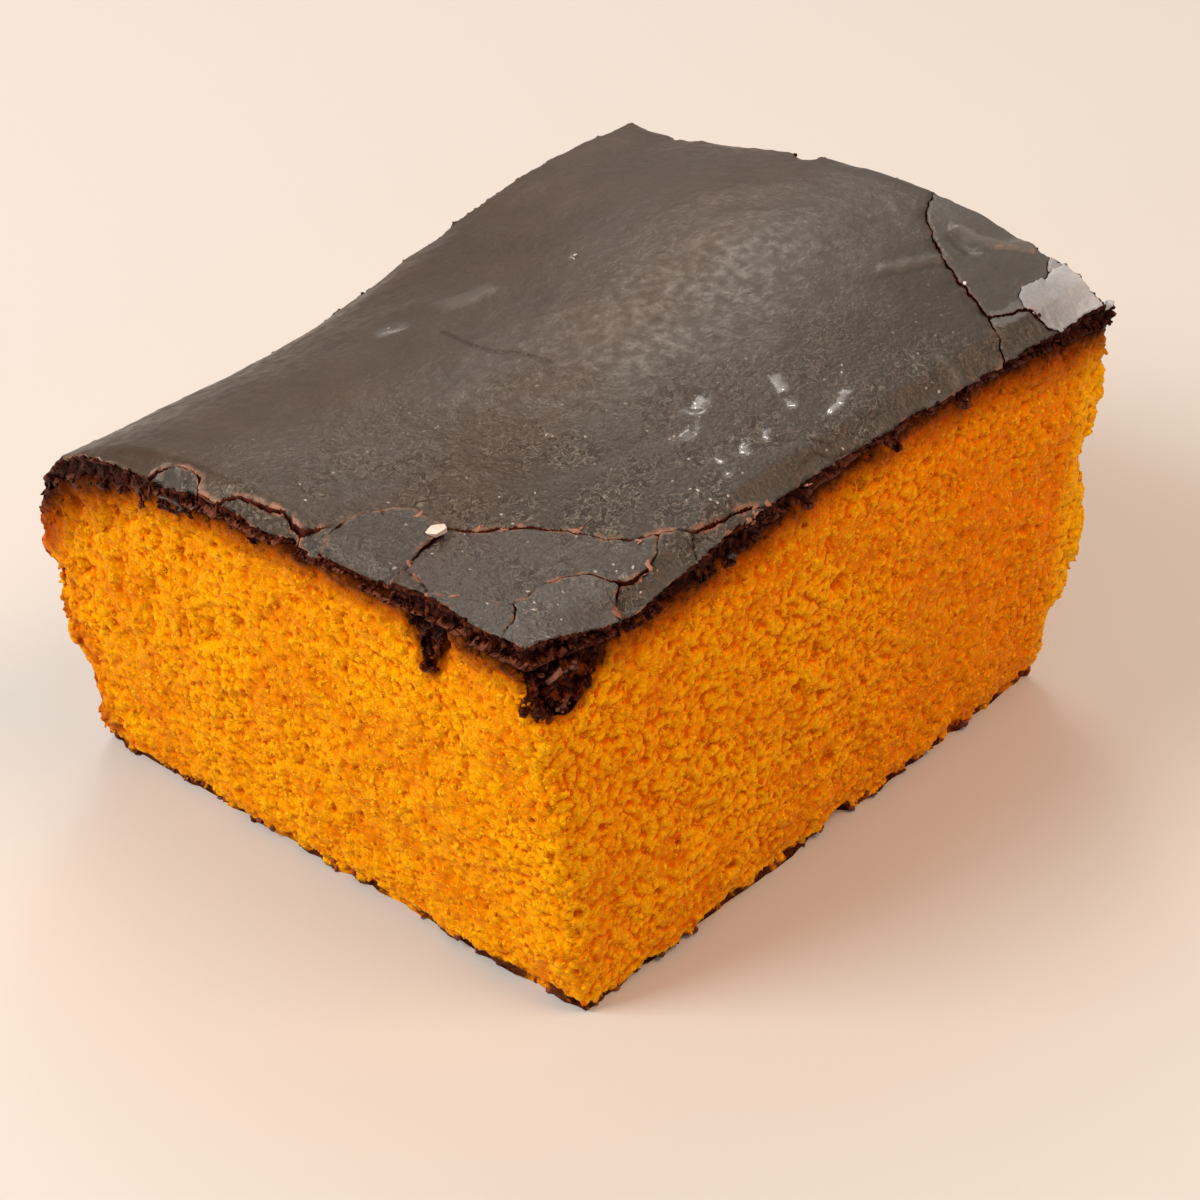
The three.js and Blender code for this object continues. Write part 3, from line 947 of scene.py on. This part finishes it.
# Broken bits: place in mm, length and width in mm, turn in degrees, and tone from 0, dark
# chocolate, over 0.5, the reddish brown of a thin rim, to 1, nearly white.
FLAKES = (
    ((11.9, -33.0, 46.8), (1.9, 1.1), 20, 1.0),
    ((10.9, -33.6, 46.9), (0.6, 0.3), 60, 0.7),
    ((28.6, 29.9, 53.0), (0.45, 0.25), 15, 0.97),
    ((-8.5, 10.1, 50.6), (0.3, 0.2), 0, 0.9),
    ((31.3, -37.2, 41.2), (1.9, 1.3), 35, 0.42),
    ((31.2, -35.0, 42.2), (1.0, 0.6), -20, 0.1),
    ((30.6, -38.9, 42.4), (1.0, 0.6), 70, 0.1),
    ((31.5, -36.9, 39.2), (0.9, 0.6), 50, 0.1),
    ((7.0, -34.9, 47.3), (0.9, 0.2), 35, 0.4),
    ((9.2, -33.4, 47.2), (0.7, 0.2), 15, 0.5),
    ((13.7, -29.3, 46.6), (0.7, 0.2), 35, 0.5),
    ((15.8, -28.0, 46.6), (0.6, 0.18), 30, 0.45),
    ((21.7, -24.2, 46.7), (0.7, 0.3), 25, 0.5),
    ((27.8, -22.2, 46.9), (0.7, 0.3), 60, 0.45),
    ((29.3, -23.2, 46.4), (0.9, 0.25), -50, 0.5),
    ((30.7, -24.4, 45.8), (0.9, 0.25), -60, 0.4),
    ((31.5, -28.5, 44.5), (0.9, 0.4), 70, 0.3),
    ((33.0, -14.9, 47.3), (0.8, 0.4), 75, 0.4),
    ((33.2, -13.2, 47.6), (0.7, 0.35), 80, 0.45),
    ((33.3, -11.8, 48.3), (0.9, 0.35), 75, 0.4),
    ((33.9, -9.5, 48.2), (0.8, 0.3), 85, 0.35),
    ((34.4, -4.9, 47.6), (0.7, 0.25), 85, 0.4),
    ((19.0, -38.6, 46.4), (0.8, 0.25), -10, 0.35),
    ((13.4, -38.6, 47.0), (0.8, 0.3), 60, 0.35),
    ((14.8, -39.4, 46.6), (0.9, 0.3), 10, 0.25),
)
# Plates that stand further apart: how much wider their cracks are, in mm.
WIDE_CRACKS = {"glaze_sliver_left": 0.2, "glaze_sliver_front": 0.15, "glaze_plate_tip": 0.12}
# From the middle of the glaze towards the front corner, seen from above.
FORWARD = (0.66, -0.75, 0.0)
# How steeply each plate leans down towards the front corner; below 0 it leans back.
LEANS = {
    "glaze_plate_round": 0.065,
    "glaze_plate_chip": 0.09,
    "glaze_plate_side": 0.05,
    "glaze_plate_side_back": 0.04,
    "glaze_sliver_left": 0.08,
    "glaze_sliver_front": 0.07,
    "glaze_plate_strip": -0.05,
    "glaze_plate_middle": -0.02,
    "glaze_plate_tip": -0.035,
    "glaze_plate_tip_front": -0.02,
    "glaze_plate_lower": -0.05,
    "glaze_plate_small": -0.03,
}
# Balls added to the rim and to a run: centre and radius in mm.
ADDED_BITS = {
    "glaze_run_corner": (
        ((29.9, -40.2, 40.6), 0.9),
        ((30.6, -39.6, 39.4), 0.9),
        ((29.7, -40.2, 38.9), 0.9),
        ((30.4, -39.8, 38.2), 0.8),
        ((31.1, -38.6, 38.2), 0.8),
    ),
    "glaze_plate_pale": (
        ((38.9, 41.7, 48.3), 0.9),
        ((38.3, 40.9, 47.8), 0.9),
        ((37.6, 39.6, 47.9), 0.7),
    ),
    SLAB: (
        ((-36.0, -42.0, 35.2), 0.8),
        ((-33.5, -42.0, 37.1), 0.9),
        ((-30.6, -42.1, 38.5), 0.9),
        ((-28.5, -42.0, 39.4), 0.8),
        ((-26.4, -42.1, 40.1), 0.9),
        ((-23.6, -42.1, 40.9), 0.8),
        ((-20.5, -42.1, 41.6), 0.9),
        ((-20.4, -42.3, 40.6), 0.7),
        ((-17.0, -42.1, 42.0), 0.9),
        ((-15.4, -42.1, 42.2), 0.9),
        ((-13.2, -42.0, 42.5), 0.8),
        ((-4.3, -41.9, 43.5), 0.7),
        ((33.5, -15.0, 44.0), 0.9),
        ((34.8, -5.0, 46.0), 0.8),
        ((36.2, 7.5, 47.3), 0.9),
        ((37.3, 17.5, 47.8), 0.9),
    ),
}
# Plates that are paler: with bloom at the large shares, and with a painted sheen at the small
# shares, where a tilted plate catches more light. Then plates that are greyer, partly as a painted
# cool reflection.
BLOOM_AND_SHEEN = {
    "glaze_plate_pale": 1.0,
    "glaze_plate_small": 0.6,
    "glaze_plate_back": 0.08,
    "glaze_plate_tip": 0.13,
    "glaze_plate_tip_front": 0.08,
    "glaze_plate_middle": 0.06,
}
GREY = ("glaze_plate_round", "glaze_plate_chip", "glaze_sliver_left", "glaze_plate_back")


def on_sheet(across, along):
    low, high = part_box(SLAB)
    return Vector((low[0] + across * (high[0] - low[0]), low[1] + along * (high[1] - low[1]), 0))


def near_line(g, place, points):
    """Distance from above, from each point to a line through places on the sheet."""
    nearest = None
    for start, end in zip(points, points[1:]):
        start, end = on_sheet(*start), on_sheet(*end)
        along = end - start
        offset = place - tuple(start)
        travel = offset.dot(tuple(along / along.length_squared))
        share = g.least(g.most(travel, 0.0), 1.0)
        level = (offset - share * tuple(along)) * (1, 1, 0)
        away = g.vector("LENGTH", level)
        nearest = away if nearest is None else g.least(nearest, away)
    return nearest


def set_top(g, geometry, place, settings):
    """Height of the set top, with waves, folds, dents and hair cracks; keeps where it is wet."""
    height = g.swing(place, 9 * MM, settings.ripple, 1.0)
    height += g.swing(place, 1.7 * MM, 0.03 * MM)
    loose = g.shifted(place, 1.6 * MM, 0.6 * MM)
    folds = []
    for line, width, rise in FOLDS:
        fold = g.span(near_line(g, loose, line), width * MM, 0.0)
        folds.append(fold * min(1.0, max(0.0, 3 * rise)))
        height += fold * (rise * MM)
    geometry = store(g, geometry, "fold", sum(folds))
    wet = []
    for line, width, depth in DENTS:
        away = near_line(g, loose, line)
        height -= g.span(away, width * MM, 0.0, 0.0, depth * MM)
        wet.append(g.span(away, 1.2 * width * MM, 0.2 * width * MM))
    wet = g.least(sum(wet), 1.0)
    height += wet * g.swing(place, 1.0 * MM, 0.09 * MM, 1.0)
    loose = g.shifted(place, 0.8 * MM, 0.15 * MM)
    hair = g.least(*(near_line(g, loose, line) for line in HAIR_CRACKS))
    hair = g.span(hair, 0.24 * MM, 0.06 * MM)
    height -= hair * (0.12 * MM)
    geometry = store(g, geometry, "hair", hair)
    geometry = store(g, geometry, "wet", wet)
    return geometry, height


def evened_top(g, geometry):
    """Evens out the set top, away from its rim."""
    geometry = store(g, geometry, "top", g.span(g.normal().z, 0.45, 0.8))
    held = g.span(g.blur(named(g, "top"), 2), 0.85, 1.0)
    return move(g, geometry, g.blur(g.place(), 12, "FLOAT_VECTOR", held), "Position")


def broken_glaze(g, geometry, settings, node):
    """Soft waves on top, a chipped lip, lumpy broken sides, and cracks drawn nearly shut."""
    place = g.place()
    normal = g.normal()
    facing_up = normal.z
    geometry = store(g, geometry, "top", g.span(facing_up, 0.45, 0.8))
    top = named(g, "top")

    # The walls of a crack, and the rims next to them, move towards the neighbour.
    others = [n for n in (SLAB, *PLATES) if n != node]
    apart, nearest = nearest_to(g, others)
    crack = g.span(apart, 1.4 * MM, 1.0 * MM)
    geometry = store(g, geometry, "crack", crack)
    across = g.vector("NORMALIZE", (nearest - place) * (1, 1, 0))
    # Only faces turned towards the neighbour are walls of the crack; its ends are broken.
    geometry = store(g, geometry, "wall", crack * g.span(across.dot(normal), 0.35, 0.75))
    rim = g.span(g.blur(top, 2), 1.0, 0.7)
    gap = settings.crack + WIDE_CRACKS.get(node, 0.0) * MM
    gap += g.swing(place, 3 * MM, 0.08 * MM)
    shut = across * ((apart - gap) * 0.5 * rim * crack)

    # The lip is chipped back where the rim is thin.
    inside = g.span(g.blur(top, 16), 0.5, 1.0)
    bite = g.span(g.noise(place, 2.6 * MM, 3.0), 0.5, 0.75, 0.0, 0.7)
    chipped = g.span(inside - bite, 0.06, -0.06)
    chipped *= g.span(crack, 0.5, 0.0)
    geometry = store(g, geometry, "broken", g.most(1.0 - top, chipped))
    geometry = store(g, geometry, "rim", g.span(g.blur(top, 2), 0.98, 0.75))
    geometry = store(g, geometry, "bloom", BLOOM_AND_SHEEN.get(node, 0.0))
    geometry = store(g, geometry, "grey", 0.8 if node in GREY else 0.0)
    geometry, level = set_top(g, geometry, place, settings)

    # The lumps of the break are taller than they are wide.
    loose = g.shifted(place, 1.5 * MM, 0.5 * MM) * (1, 1, 0.55)
    froth = g.domes(loose, 1.1 * MM, 1.3 * settings.froth)
    froth += g.domes(loose, 0.5 * MM, 0.5 * settings.froth)
    depth, _ = nearest_to(g, [node], upper=True)
    side = froth - g.span(depth, 0.3 * MM, 1.1 * MM, 0.0, settings.undercut)
    side *= 1.0 - named(g, "wall")
    side = g.between(facing_up < -0.6, side, 0.15 * MM)
    chip = chipped * (froth - settings.chip)
    offset = normal * g.between(top, side, level + chip)
    offset += g.combined(0.0, 0.0, sunken_rim(g, place, depth, settings) * -1.0)
    if node in LEANS:
        middle = sum(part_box(node), Vector()) / 2
        forward = (place - tuple(middle)).dot(FORWARD)
        offset += g.combined(0.0, 0.0, forward * -LEANS[node])
    geometry = move(g, geometry, offset + shut)
    # Both sides of a crack wander together, which makes its course jagged.
    geometry = store(g, geometry, "near_crack", g.span(apart, 2.2 * MM, 0.8 * MM))
    level = g.place() * (1, 1, 0)
    aside = (g.shifted(level, 1.3 * MM, 0.42 * MM) - level) * (1, 1, 0)
    aside *= named(g, "near_crack")
    geometry = keep_in_box(g, move(g, geometry, aside))
    return store(g, geometry, "relief", bulge(g, 8) * 5.0)


def sunken_rim(g, place, depth, settings):
    """How far the rims of the front and the right have sunk, most of all their upper lips."""
    x, y = place.x, place.y
    front = g.span(y - CAD_BOX[0][1], 3.6 * MM, 0.6 * MM)
    front *= g.span(x, -30 * MM, -21 * MM)
    front *= g.span(x, -12 * MM, -5 * MM, settings.sag, 1.6 * settings.sag)
    front *= g.span(x, 16 * MM, 9 * MM)
    # The right rim runs a little outwards towards the back.
    rim = y * 0.1145 + 34.98 * MM
    right = g.span(rim - x, 3.4 * MM, 0.6 * MM, 0.0, 0.75 * settings.sag)
    right *= g.span(y, -38 * MM, -30 * MM)
    return (front + right) * g.span(depth, 2.1 * MM, 0.3 * MM)


def lumpy_run(g, geometry, settings, _):
    """A run of chocolate as a heap of rough lumps, filling its hollow."""
    loose = g.shifted(g.place(), 2.0 * MM, 0.8 * MM)
    lumps = g.domes(loose, 1.9 * MM, 2.6 * settings.froth)
    lumps += g.domes(loose, 0.8 * MM, 1.2 * settings.froth)
    for name in ("broken", "crumbed"):
        geometry = store(g, geometry, name, 1.0)
    # The middle stands back from the cut faces, between rough walls.
    walls = distance_to(g, ["sponge"])
    height = lumps - g.span(walls, 0.3 * MM, 1.9 * MM, 0.6 * MM, 1.5 * MM)
    geometry = keep_in_box(g, move(g, geometry, g.normal() * height))
    return store(g, geometry, "relief", bulge(g, 8) * 5.0)


def glaze_material(settings):
    """The set satin top of the glaze."""
    material, g = new_material("Set glaze")
    place = g.place()

    # The half towards the front corner is wrinkled, and flecked with crystals and painted glints;
    # its wrinkles carry painted highlights and painted shade.
    x, y = place.x, place.y
    wide, long, _ = CAD_BOX[1]
    forward = x / (0.83 * wide) - y / (1.1 * long)
    fresh = g.span(forward + g.swing(place, 7 * MM, 0.2), 0.0, 1.1)
    smooth = 1.0 - g.attribute("grey") * 0.8
    curls = g.noise(g.shifted(place, 1.4 * MM, 0.7 * MM), 0.85 * MM, 3.0)
    patchy = g.span(g.noise(place, 5 * MM), 0.42, 0.62, 0.1, 1.0) * fresh * smooth
    crease_highlight = g.span(abs(curls - 0.5), 0.04, 0.0) * patchy
    groove_shade = g.span(abs(curls - 0.59), 0.05, 0.0) * patchy
    away, chance = g.cells(g.shifted(place, 0.8 * MM, 0.3 * MM), 0.85 * MM)
    speck_and_glint = (chance > 0.72) * fresh * g.span(away, 0.22, 0.12)
    speck_and_glint *= g.span(g.noise(place, 6 * MM), 0.48, 0.58)

    # A browner band, the painted warm tint of the soft reflection, runs from the middle of the
    # back towards the front.
    band = x + (y * 0.177 - 4.1 * MM)
    band = abs(band + g.swing(place, 9 * MM, 3 * MM))
    band = g.span(band, 11 * MM, 1 * MM)
    cloudy = g.noise(place, 6 * MM, 4.0)
    base = g.mix(g.span(cloudy, 0.3, 0.7), settings.top, 1.3 * settings.top)
    # Greyer patches towards the right and on the greyer plates: partly bloom, partly a painted
    # cool reflection. They stay out of the band.
    cool = g.span(x + g.swing(place, 12 * MM, 9 * MM, 4.0), -25 * MM, 32 * MM, 0.0, 0.9)
    cool *= g.span(band, 0.0, 1.0, 1.0, 0.25)
    base = g.mix(g.most(cool, g.attribute("grey")), base, settings.cool)
    # Painted shade in the grooves of the wrinkles, and a painted highlight on their raised
    # creases.
    base = g.mix(groove_shade * 0.8, base, settings.pit)
    base = g.mix(crease_highlight * 0.6, base, (0.27, 0.235, 0.20))
    # Pale specks: partly sugar crystals, partly painted glints.
    base = g.mix(speck_and_glint * 0.75, base, (0.55, 0.51, 0.47))
    # Painted highlight along the crests of the folds.
    base = g.mix(g.attribute("fold") * 0.3, base, (0.20, 0.19, 0.175))

    # Bloom is uneven, with small pits, and thickest at the very corner.
    away, chance = g.cells(place, 2.3 * MM)
    pitted = (chance > 0.6) * g.span(away, 0.09, 0.05)
    paler = g.span(y + g.swing(place, 2.6 * MM, 2.4 * MM, 3.0), 34 * MM, 42 * MM)
    chalk = g.mix(paler, 0.8 * settings.bloom, 1.35 * settings.bloom)
    chalk = g.mix(pitted * 0.7, chalk, settings.top)
    strip = near_line(g, g.shifted(place, 1.2 * MM, 0.5 * MM), BLOOMED_STRIP)
    strip = g.span(strip, 1.1 * MM, 0.7 * MM, 0.0, 0.3)
    # Bloom, and on the plates with small shares a painted sheen.
    base = g.mix(g.most(g.attribute("bloom"), strip), base, chalk)
    flaky = g.span(g.noise(place, 2.2 * MM, 4.0), 0.46, 0.58)
    flaky *= g.span(fresh, 0.0, 0.6, 0.45, 1.0)
    flaky *= g.span(y, -4 * MM, 14 * MM, 1.0, 0.35)
    tan = g.span(g.noise(place, 4 * MM), 0.42, 0.58)
    flake = g.mix(tan, settings.torn, (0.21, 0.125, 0.085))
    base = g.mix(g.attribute("rim") * flaky, base, flake)
    base = g.mix(g.attribute("hair") * 0.8, base, settings.pit)
    base = g.mottled(base, place, 0.4 * MM, g.span(fresh, 0.0, 1.0, 0.10, 0.26))

    satin = g.span(g.noise(place, 1.2 * MM, 4.0), 0.3, 0.7, 0.3, 0.48)
    # Heights are in millimetres.
    wrinkle = g.noise(g.shifted(place, 6 * MM, 2 * MM), 2.4 * MM, 3.0) * 0.07
    wrinkle += g.noise(place, 0.45 * MM, 3.0) * g.span(fresh, 0.0, 1.0, 0.04, 0.2)
    wrinkle += g.noise(place, 1.1 * MM, 3.0) * g.span(fresh, 0.0, 1.0, 0.05, 0.2)
    wrinkle += crease_highlight * 0.05
    wrinkle += groove_shade * -0.05
    shade(
        g,
        base,
        g.between(g.attribute("wet"), satin, 0.22),
        Normal=g.bump(wrinkle),
        Coat_Weight=g.attribute("wet"),
        Coat_Roughness=0.1,
        Coat_IOR=1.7,
        Specular_IOR_Level=0.45,
        Specular_Tint=(1.0, 0.83, 0.7, 1),
    )
    return material


def broken_material(settings):
    """Broken chocolate: the lumps are redder than the pits between them, which are darkened as
    painted shade; the tallest lumps get a paler painted highlight.
    """
    material, g = new_material("Broken chocolate")
    place = g.place()
    tone = g.attribute("relief") + g.swing(place, 0.7 * MM, 0.2)
    # Painted shade darkens the pits between the lumps, and a painted highlight gives the tallest
    # lumps the paler rim colour.
    base = g.mix(g.span(tone, -0.1, 0.6), settings.pit, settings.side)
    base = g.mix(g.span(tone, 0.85, 1.7, 0.0, 0.6), base, settings.rim)
    # Torn crumb shows in places between the lumps of a run.
    torn = g.span(g.noise(place, 1.5 * MM), 0.5, 0.58)
    torn = torn * g.attribute("crumbed") * g.span(tone, 0.7, 0.1)
    base = g.mix(torn, base, (0.22, 0.042, 0.003))
    # Painted shadow darkens the runs under the lip of the glaze; the break is also darker along
    # the right and the left, and towards the back.
    lip = g.span(place.z, 41.5 * MM, 43.0 * MM) * g.attribute("crumbed")
    dark = g.most(
        lip * 0.9,
        g.span(place.x, 26 * MM, 33 * MM, 0.0, 0.5),
        g.span(place.x, -14 * MM, -24 * MM, 0.0, 0.5),
        g.span(place.y, 10 * MM, 20 * MM, 0.0, 0.6),
    )
    base = g.mix(dark, base, settings.pit)
    shade(
        g,
        g.mottled(base, place, 0.6 * MM, 0.25),
        g.span(g.noise(place, 0.6 * MM), 0.35, 0.65, 0.12, 0.35),
        Normal=g.bump(g.noise(place, 0.3 * MM), 0.25 * MM),
        Specular_IOR_Level=0.16,
        Specular_Tint=(1.0, 0.42, 0.27, 1),
    )
    return material


def flake_material(settings):
    """Loose bits of broken glaze, from dark chocolate to nearly white."""
    material, g = new_material("Flakes of glaze")
    place = g.place()
    tone = g.attribute("tone") + g.swing(place, 0.4 * MM, 0.12)
    base = g.mix(g.span(tone, 0.0, 0.5), settings.side, settings.torn)
    base = g.mix(g.span(tone, 0.6, 0.95), base, (0.72, 0.62, 0.55))
    shade(g, base, 0.35, Specular_IOR_Level=0.3)
    return material


def ragged_bits(count):
    """A few ragged bits of unit size."""
    bits = []
    for i in range(count):
        deselect()
        bpy.ops.mesh.primitive_ico_sphere_add(subdivisions=2, radius=1, location=(0, 0, 0))
        with editing():
            bpy.ops.transform.vertex_random(offset=0.35, seed=i + 1)
        bits.append(bpy.context.active_object)
    return bits


def angular_chips(count):
    """A few chips of unit size with sharp, uneven corners."""
    chips = []
    for i in range(count):
        deselect()
        bpy.ops.mesh.primitive_cylinder_add(vertices=5, radius=1, depth=1.6, location=(0, 0, 0))
        with editing():
            bpy.ops.transform.vertex_random(offset=0.3, seed=i + 11)
            bpy.ops.mesh.bevel(offset=0.12, segments=1, affect="EDGES")
        chips.append(bpy.context.active_object)
    return chips


def laid_flat(spot, surfaces):
    """The nearest point on the surfaces, and the turn that lays a bit flat there."""
    best = None
    for surface in surfaces:
        _, point, normal, _ = surface.closest_point_on_mesh(spot)
        if best is None or (point - spot).length < (best[0] - spot).length:
            best = (point, normal)
    return best[0], best[1].to_track_quat("Z", "Y").to_matrix()


def crack_edges(surfaces):
    """A tree of the places along the edges of the cracks."""
    places = []
    for surface in surfaces:
        edge = surface.data.attributes.get("near_crack")
        rim = surface.data.attributes.get("rim")
        if edge and rim:
            for vertex, near, thin_rim in zip(surface.data.vertices, edge.data, rim.data):
                if near.value > 0.5 and 0.4 < thin_rim.value < 0.9:
                    places.append(vertex.co.copy())
    tree = KDTree(len(places))
    for i, place in enumerate(places):
        tree.insert(place, i)
    tree.balance()
    return tree


def loose_flakes(settings, surfaces):
    """One piece with the broken bits that lie about the cracks and in the hollow, in heaps."""
    chance = random.Random(4)
    shapes = ragged_bits(6)
    chips = angular_chips(3)
    edges = crack_edges(surfaces)
    bits = []
    for spot, (long, wide), turn, tone in FLAKES:
        spot = Vector(spot) * MM
        edge, _, away = edges.find(spot)
        # Small bits near a crack lie right at its edge.
        if away < 1.6 * MM and long < 1.0:
            spot = edge
        point, lie = laid_flat(spot, surfaces)
        lie = lie @ Matrix.Rotation(math.radians(turn), 3, "Z")
        whole = tone > 0.9 or long > 1.8
        for i, share in enumerate((1.0,) if whole else (0.8, 0.6, 0.55, 0.5, 0.4, 0.35, 0.3)):
            shape = chance.choice(chips if whole else shapes)
            bit = bpy.data.objects.new("bit", shape.data.copy())
            bpy.context.scene.collection.objects.link(bit)
            aside = Vector((chance.uniform(-1, 1) * long, chance.uniform(-1, 1) * wide, 0))
            spin = Matrix.Rotation(chance.uniform(-0.9, 0.9), 3, "Z")
            lean = Matrix.Rotation(chance.uniform(-0.35, 0.35), 3, "X")
            bit.location = point + lie @ (aside * 0.8 * MM * min(i, 1))
            bit.rotation_euler = (lie @ spin @ lean).to_euler()
            bit.scale = Vector((0.6 * long, 0.8 * wide, 0.28 * wide)) * share * MM
            attribute = bit.data.attributes.new("tone", "FLOAT", "POINT")
            value = tone + chance.uniform(-0.12, 0.08)
            attribute.data.foreach_set("value", [value] * len(bit.data.vertices))
            bits.append(bit)
    for shape in shapes + chips:
        bpy.data.objects.remove(shape)
    piece = join(bits, "glaze_flakes")
    activate(piece)
    bpy.ops.object.transform_apply(location=True, rotation=True, scale=True)
    finish_piece(piece, flake_material(settings), "glaze")
    bpy.ops.object.shade_smooth_by_angle(angle=math.radians(40))
    return piece


def dress_glaze(piece, top, side, *nodes):
    """Gives the set top and the broken faces of a piece of glaze their own materials."""
    finish_piece(piece, top, "glaze", *nodes)
    piece.data.materials.append(side)
    broken = [item.value for item in piece.data.attributes["broken"].data]
    for face in piece.data.polygons:
        mean = sum(broken[i] for i in face.vertices) / len(face.vertices)
        face.material_index = int(mean > 0.5)


class CAKE_OT_glaze(bpy.types.Operator):
    """Model the sheet of glaze, its broken plates and its runs"""

    bl_idname = "cake.glaze"
    bl_label = "Glaze"

    def execute(self, context):
        settings = context.scene.cake_glaze
        top, side = glaze_material(settings), broken_material(settings)
        sheet = add_lumps(copy_of(SLAB, "glaze_top"), ADDED_BITS[SLAB])
        apply_modifier(sheet, "REMESH", mode="VOXEL", voxel_size=2 * settings.grid)
        apply_shape(sheet, evened_top)
        apply_modifier(sheet, "REMESH", mode="VOXEL", voxel_size=settings.grid)
        apply_shape(sheet, broken_glaze, settings, SLAB)
        # The underside is hidden, so it needs few faces.
        thin(sheet, [v.index for v in sheet.data.vertices if v.normal.z < -0.7], 0.95)
        dress_glaze(sheet, top, side, SLAB)

        for name, nodes, shape in (
            ("glaze_plates", PLATES, broken_glaze),
            ("glaze_runs", RUNS, lumpy_run),
        ):
            pieces = []
            for node in nodes:
                piece = add_lumps(copy_of(node, node + "_broken"), ADDED_BITS.get(node, ()))
                apply_modifier(piece, "REMESH", mode="VOXEL", voxel_size=settings.plate_grid)
                apply_shape(piece, shape, settings, node)
                pieces.append(piece)
            whole = join(pieces, name)
            dress_glaze(whole, top, side, *nodes)
        names = ("glaze_top", "glaze_plates", "glaze_runs")
        loose_flakes(settings, [bpy.data.objects[name] for name in names])
        return {"FINISHED"}


# ---- Stage ----

# Name, azimuth and elevation in degrees, distance, size, power and tint.
LIGHTS = (
    ("key", -32, 42, 0.9, 0.36, 6.4, (1.0, 0.97, 0.90)),
    ("back", 228, 45, 0.9, 0.42, 1.3, (1.0, 0.94, 0.88)),
    ("glint", 226, 42, 0.9, 0.09, 0.4, (1.0, 0.92, 0.84)),
    ("fill", 112, 58, 1.0, 0.4, 4.3, (1.0, 0.575, 0.33)),
)
# The place that the camera looks at, in mm.
AIM = (6.306, -2.956, 19.027)


def direction(azimuth, elevation):
    """From the slab towards an azimuth, counted from the front, and an elevation."""
    level = math.cos(elevation)
    return Vector((math.sin(azimuth) * level, -math.cos(azimuth) * level, math.sin(elevation)))


class CAKE_OT_stage(bpy.types.Operator):
    """Add the floor, the soft studio lights and the camera"""

    bl_idname = "cake.stage"
    bl_label = "Stage"

    def execute(self, context):
        settings = context.scene.cake_stage
        deselect()
        bpy.ops.mesh.primitive_plane_add(size=4, location=(0, 0, 0))
        floor = context.active_object
        floor.name = "floor"
        material, g = new_material("Pale floor")
        shade(g, (*settings.floor, 1), 0.7)
        floor.data.materials.append(material)

        world = bpy.data.worlds.new("Soft room")
        context.scene.world = world
        world.use_nodes = True
        background = world.node_tree.nodes["Background"]
        background.inputs["Color"].default_value = (1.0, 0.92, 0.83, 1)
        background.inputs["Strength"].default_value = 0.5

        for name, azimuth, elevation, distance, size, power, tint in LIGHTS:
            away = direction(math.radians(azimuth), math.radians(elevation))
            bpy.ops.object.light_add(type="AREA", location=away * distance)
            light = context.active_object
            light.name = name
            light.rotation_euler = away.to_track_quat("Z", "Y").to_euler()
            light.data.size = size
            light.data.energy = power
            light.data.color = tint

        away = direction(settings.azimuth, settings.elevation)
        bpy.ops.object.camera_add(location=Vector(AIM) * MM + away * settings.distance)
        camera = context.active_object
        camera.rotation_euler = away.to_track_quat("Z", "Y").to_euler()
        camera.data.lens = settings.lens
        camera.data.sensor_width = 36
        camera.data.clip_start = 0.01
        context.scene.camera = camera
        context.scene.view_settings.view_transform = "Standard"
        return {"FINISHED"}


# ---- Panel ----


class CAKE_PT_panel(bpy.types.Panel):
    """Steps and settings of the cake"""

    bl_label = "Carrot Cake Slab"
    bl_idname = "CAKE_PT_panel"
    bl_space_type = "VIEW_3D"
    bl_region_type = "UI"
    bl_category = "Cake"

    def draw(self, context):
        for operator, settings in STEPS:
            box = self.layout.box()
            box.operator(operator.bl_idname)
            for name in settings.__annotations__:
                box.prop(getattr(context.scene, GROUPS[settings]), name)


STEPS = (
    (CAKE_OT_sponge, SpongeSettings),
    (CAKE_OT_glaze, GlazeSettings),
    (CAKE_OT_grains, GrainSettings),
    (CAKE_OT_stage, StageSettings),
)
GROUPS = {
    SpongeSettings: "cake_sponge",
    GrainSettings: "cake_grains",
    GlazeSettings: "cake_glaze",
    StageSettings: "cake_stage",
}


def register():
    for settings, name in GROUPS.items():
        bpy.utils.register_class(settings)
        setattr(bpy.types.Scene, name, PointerProperty(type=settings))
    for operator, _ in STEPS:
        bpy.utils.register_class(operator)
    bpy.utils.register_class(CAKE_PT_panel)


def unregister():
    bpy.utils.unregister_class(CAKE_PT_panel)
    for operator, _ in reversed(STEPS):
        bpy.utils.unregister_class(operator)
    for settings, name in reversed(GROUPS.items()):
        delattr(bpy.types.Scene, name)
        bpy.utils.unregister_class(settings)


def main():
    register()
    bpy.ops.cake.sponge()
    bpy.ops.cake.glaze()
    bpy.ops.cake.grains()
    bpy.ops.cake.stage()
    bpy.context.view_layer.update()


if __name__ == "__main__":
    main()
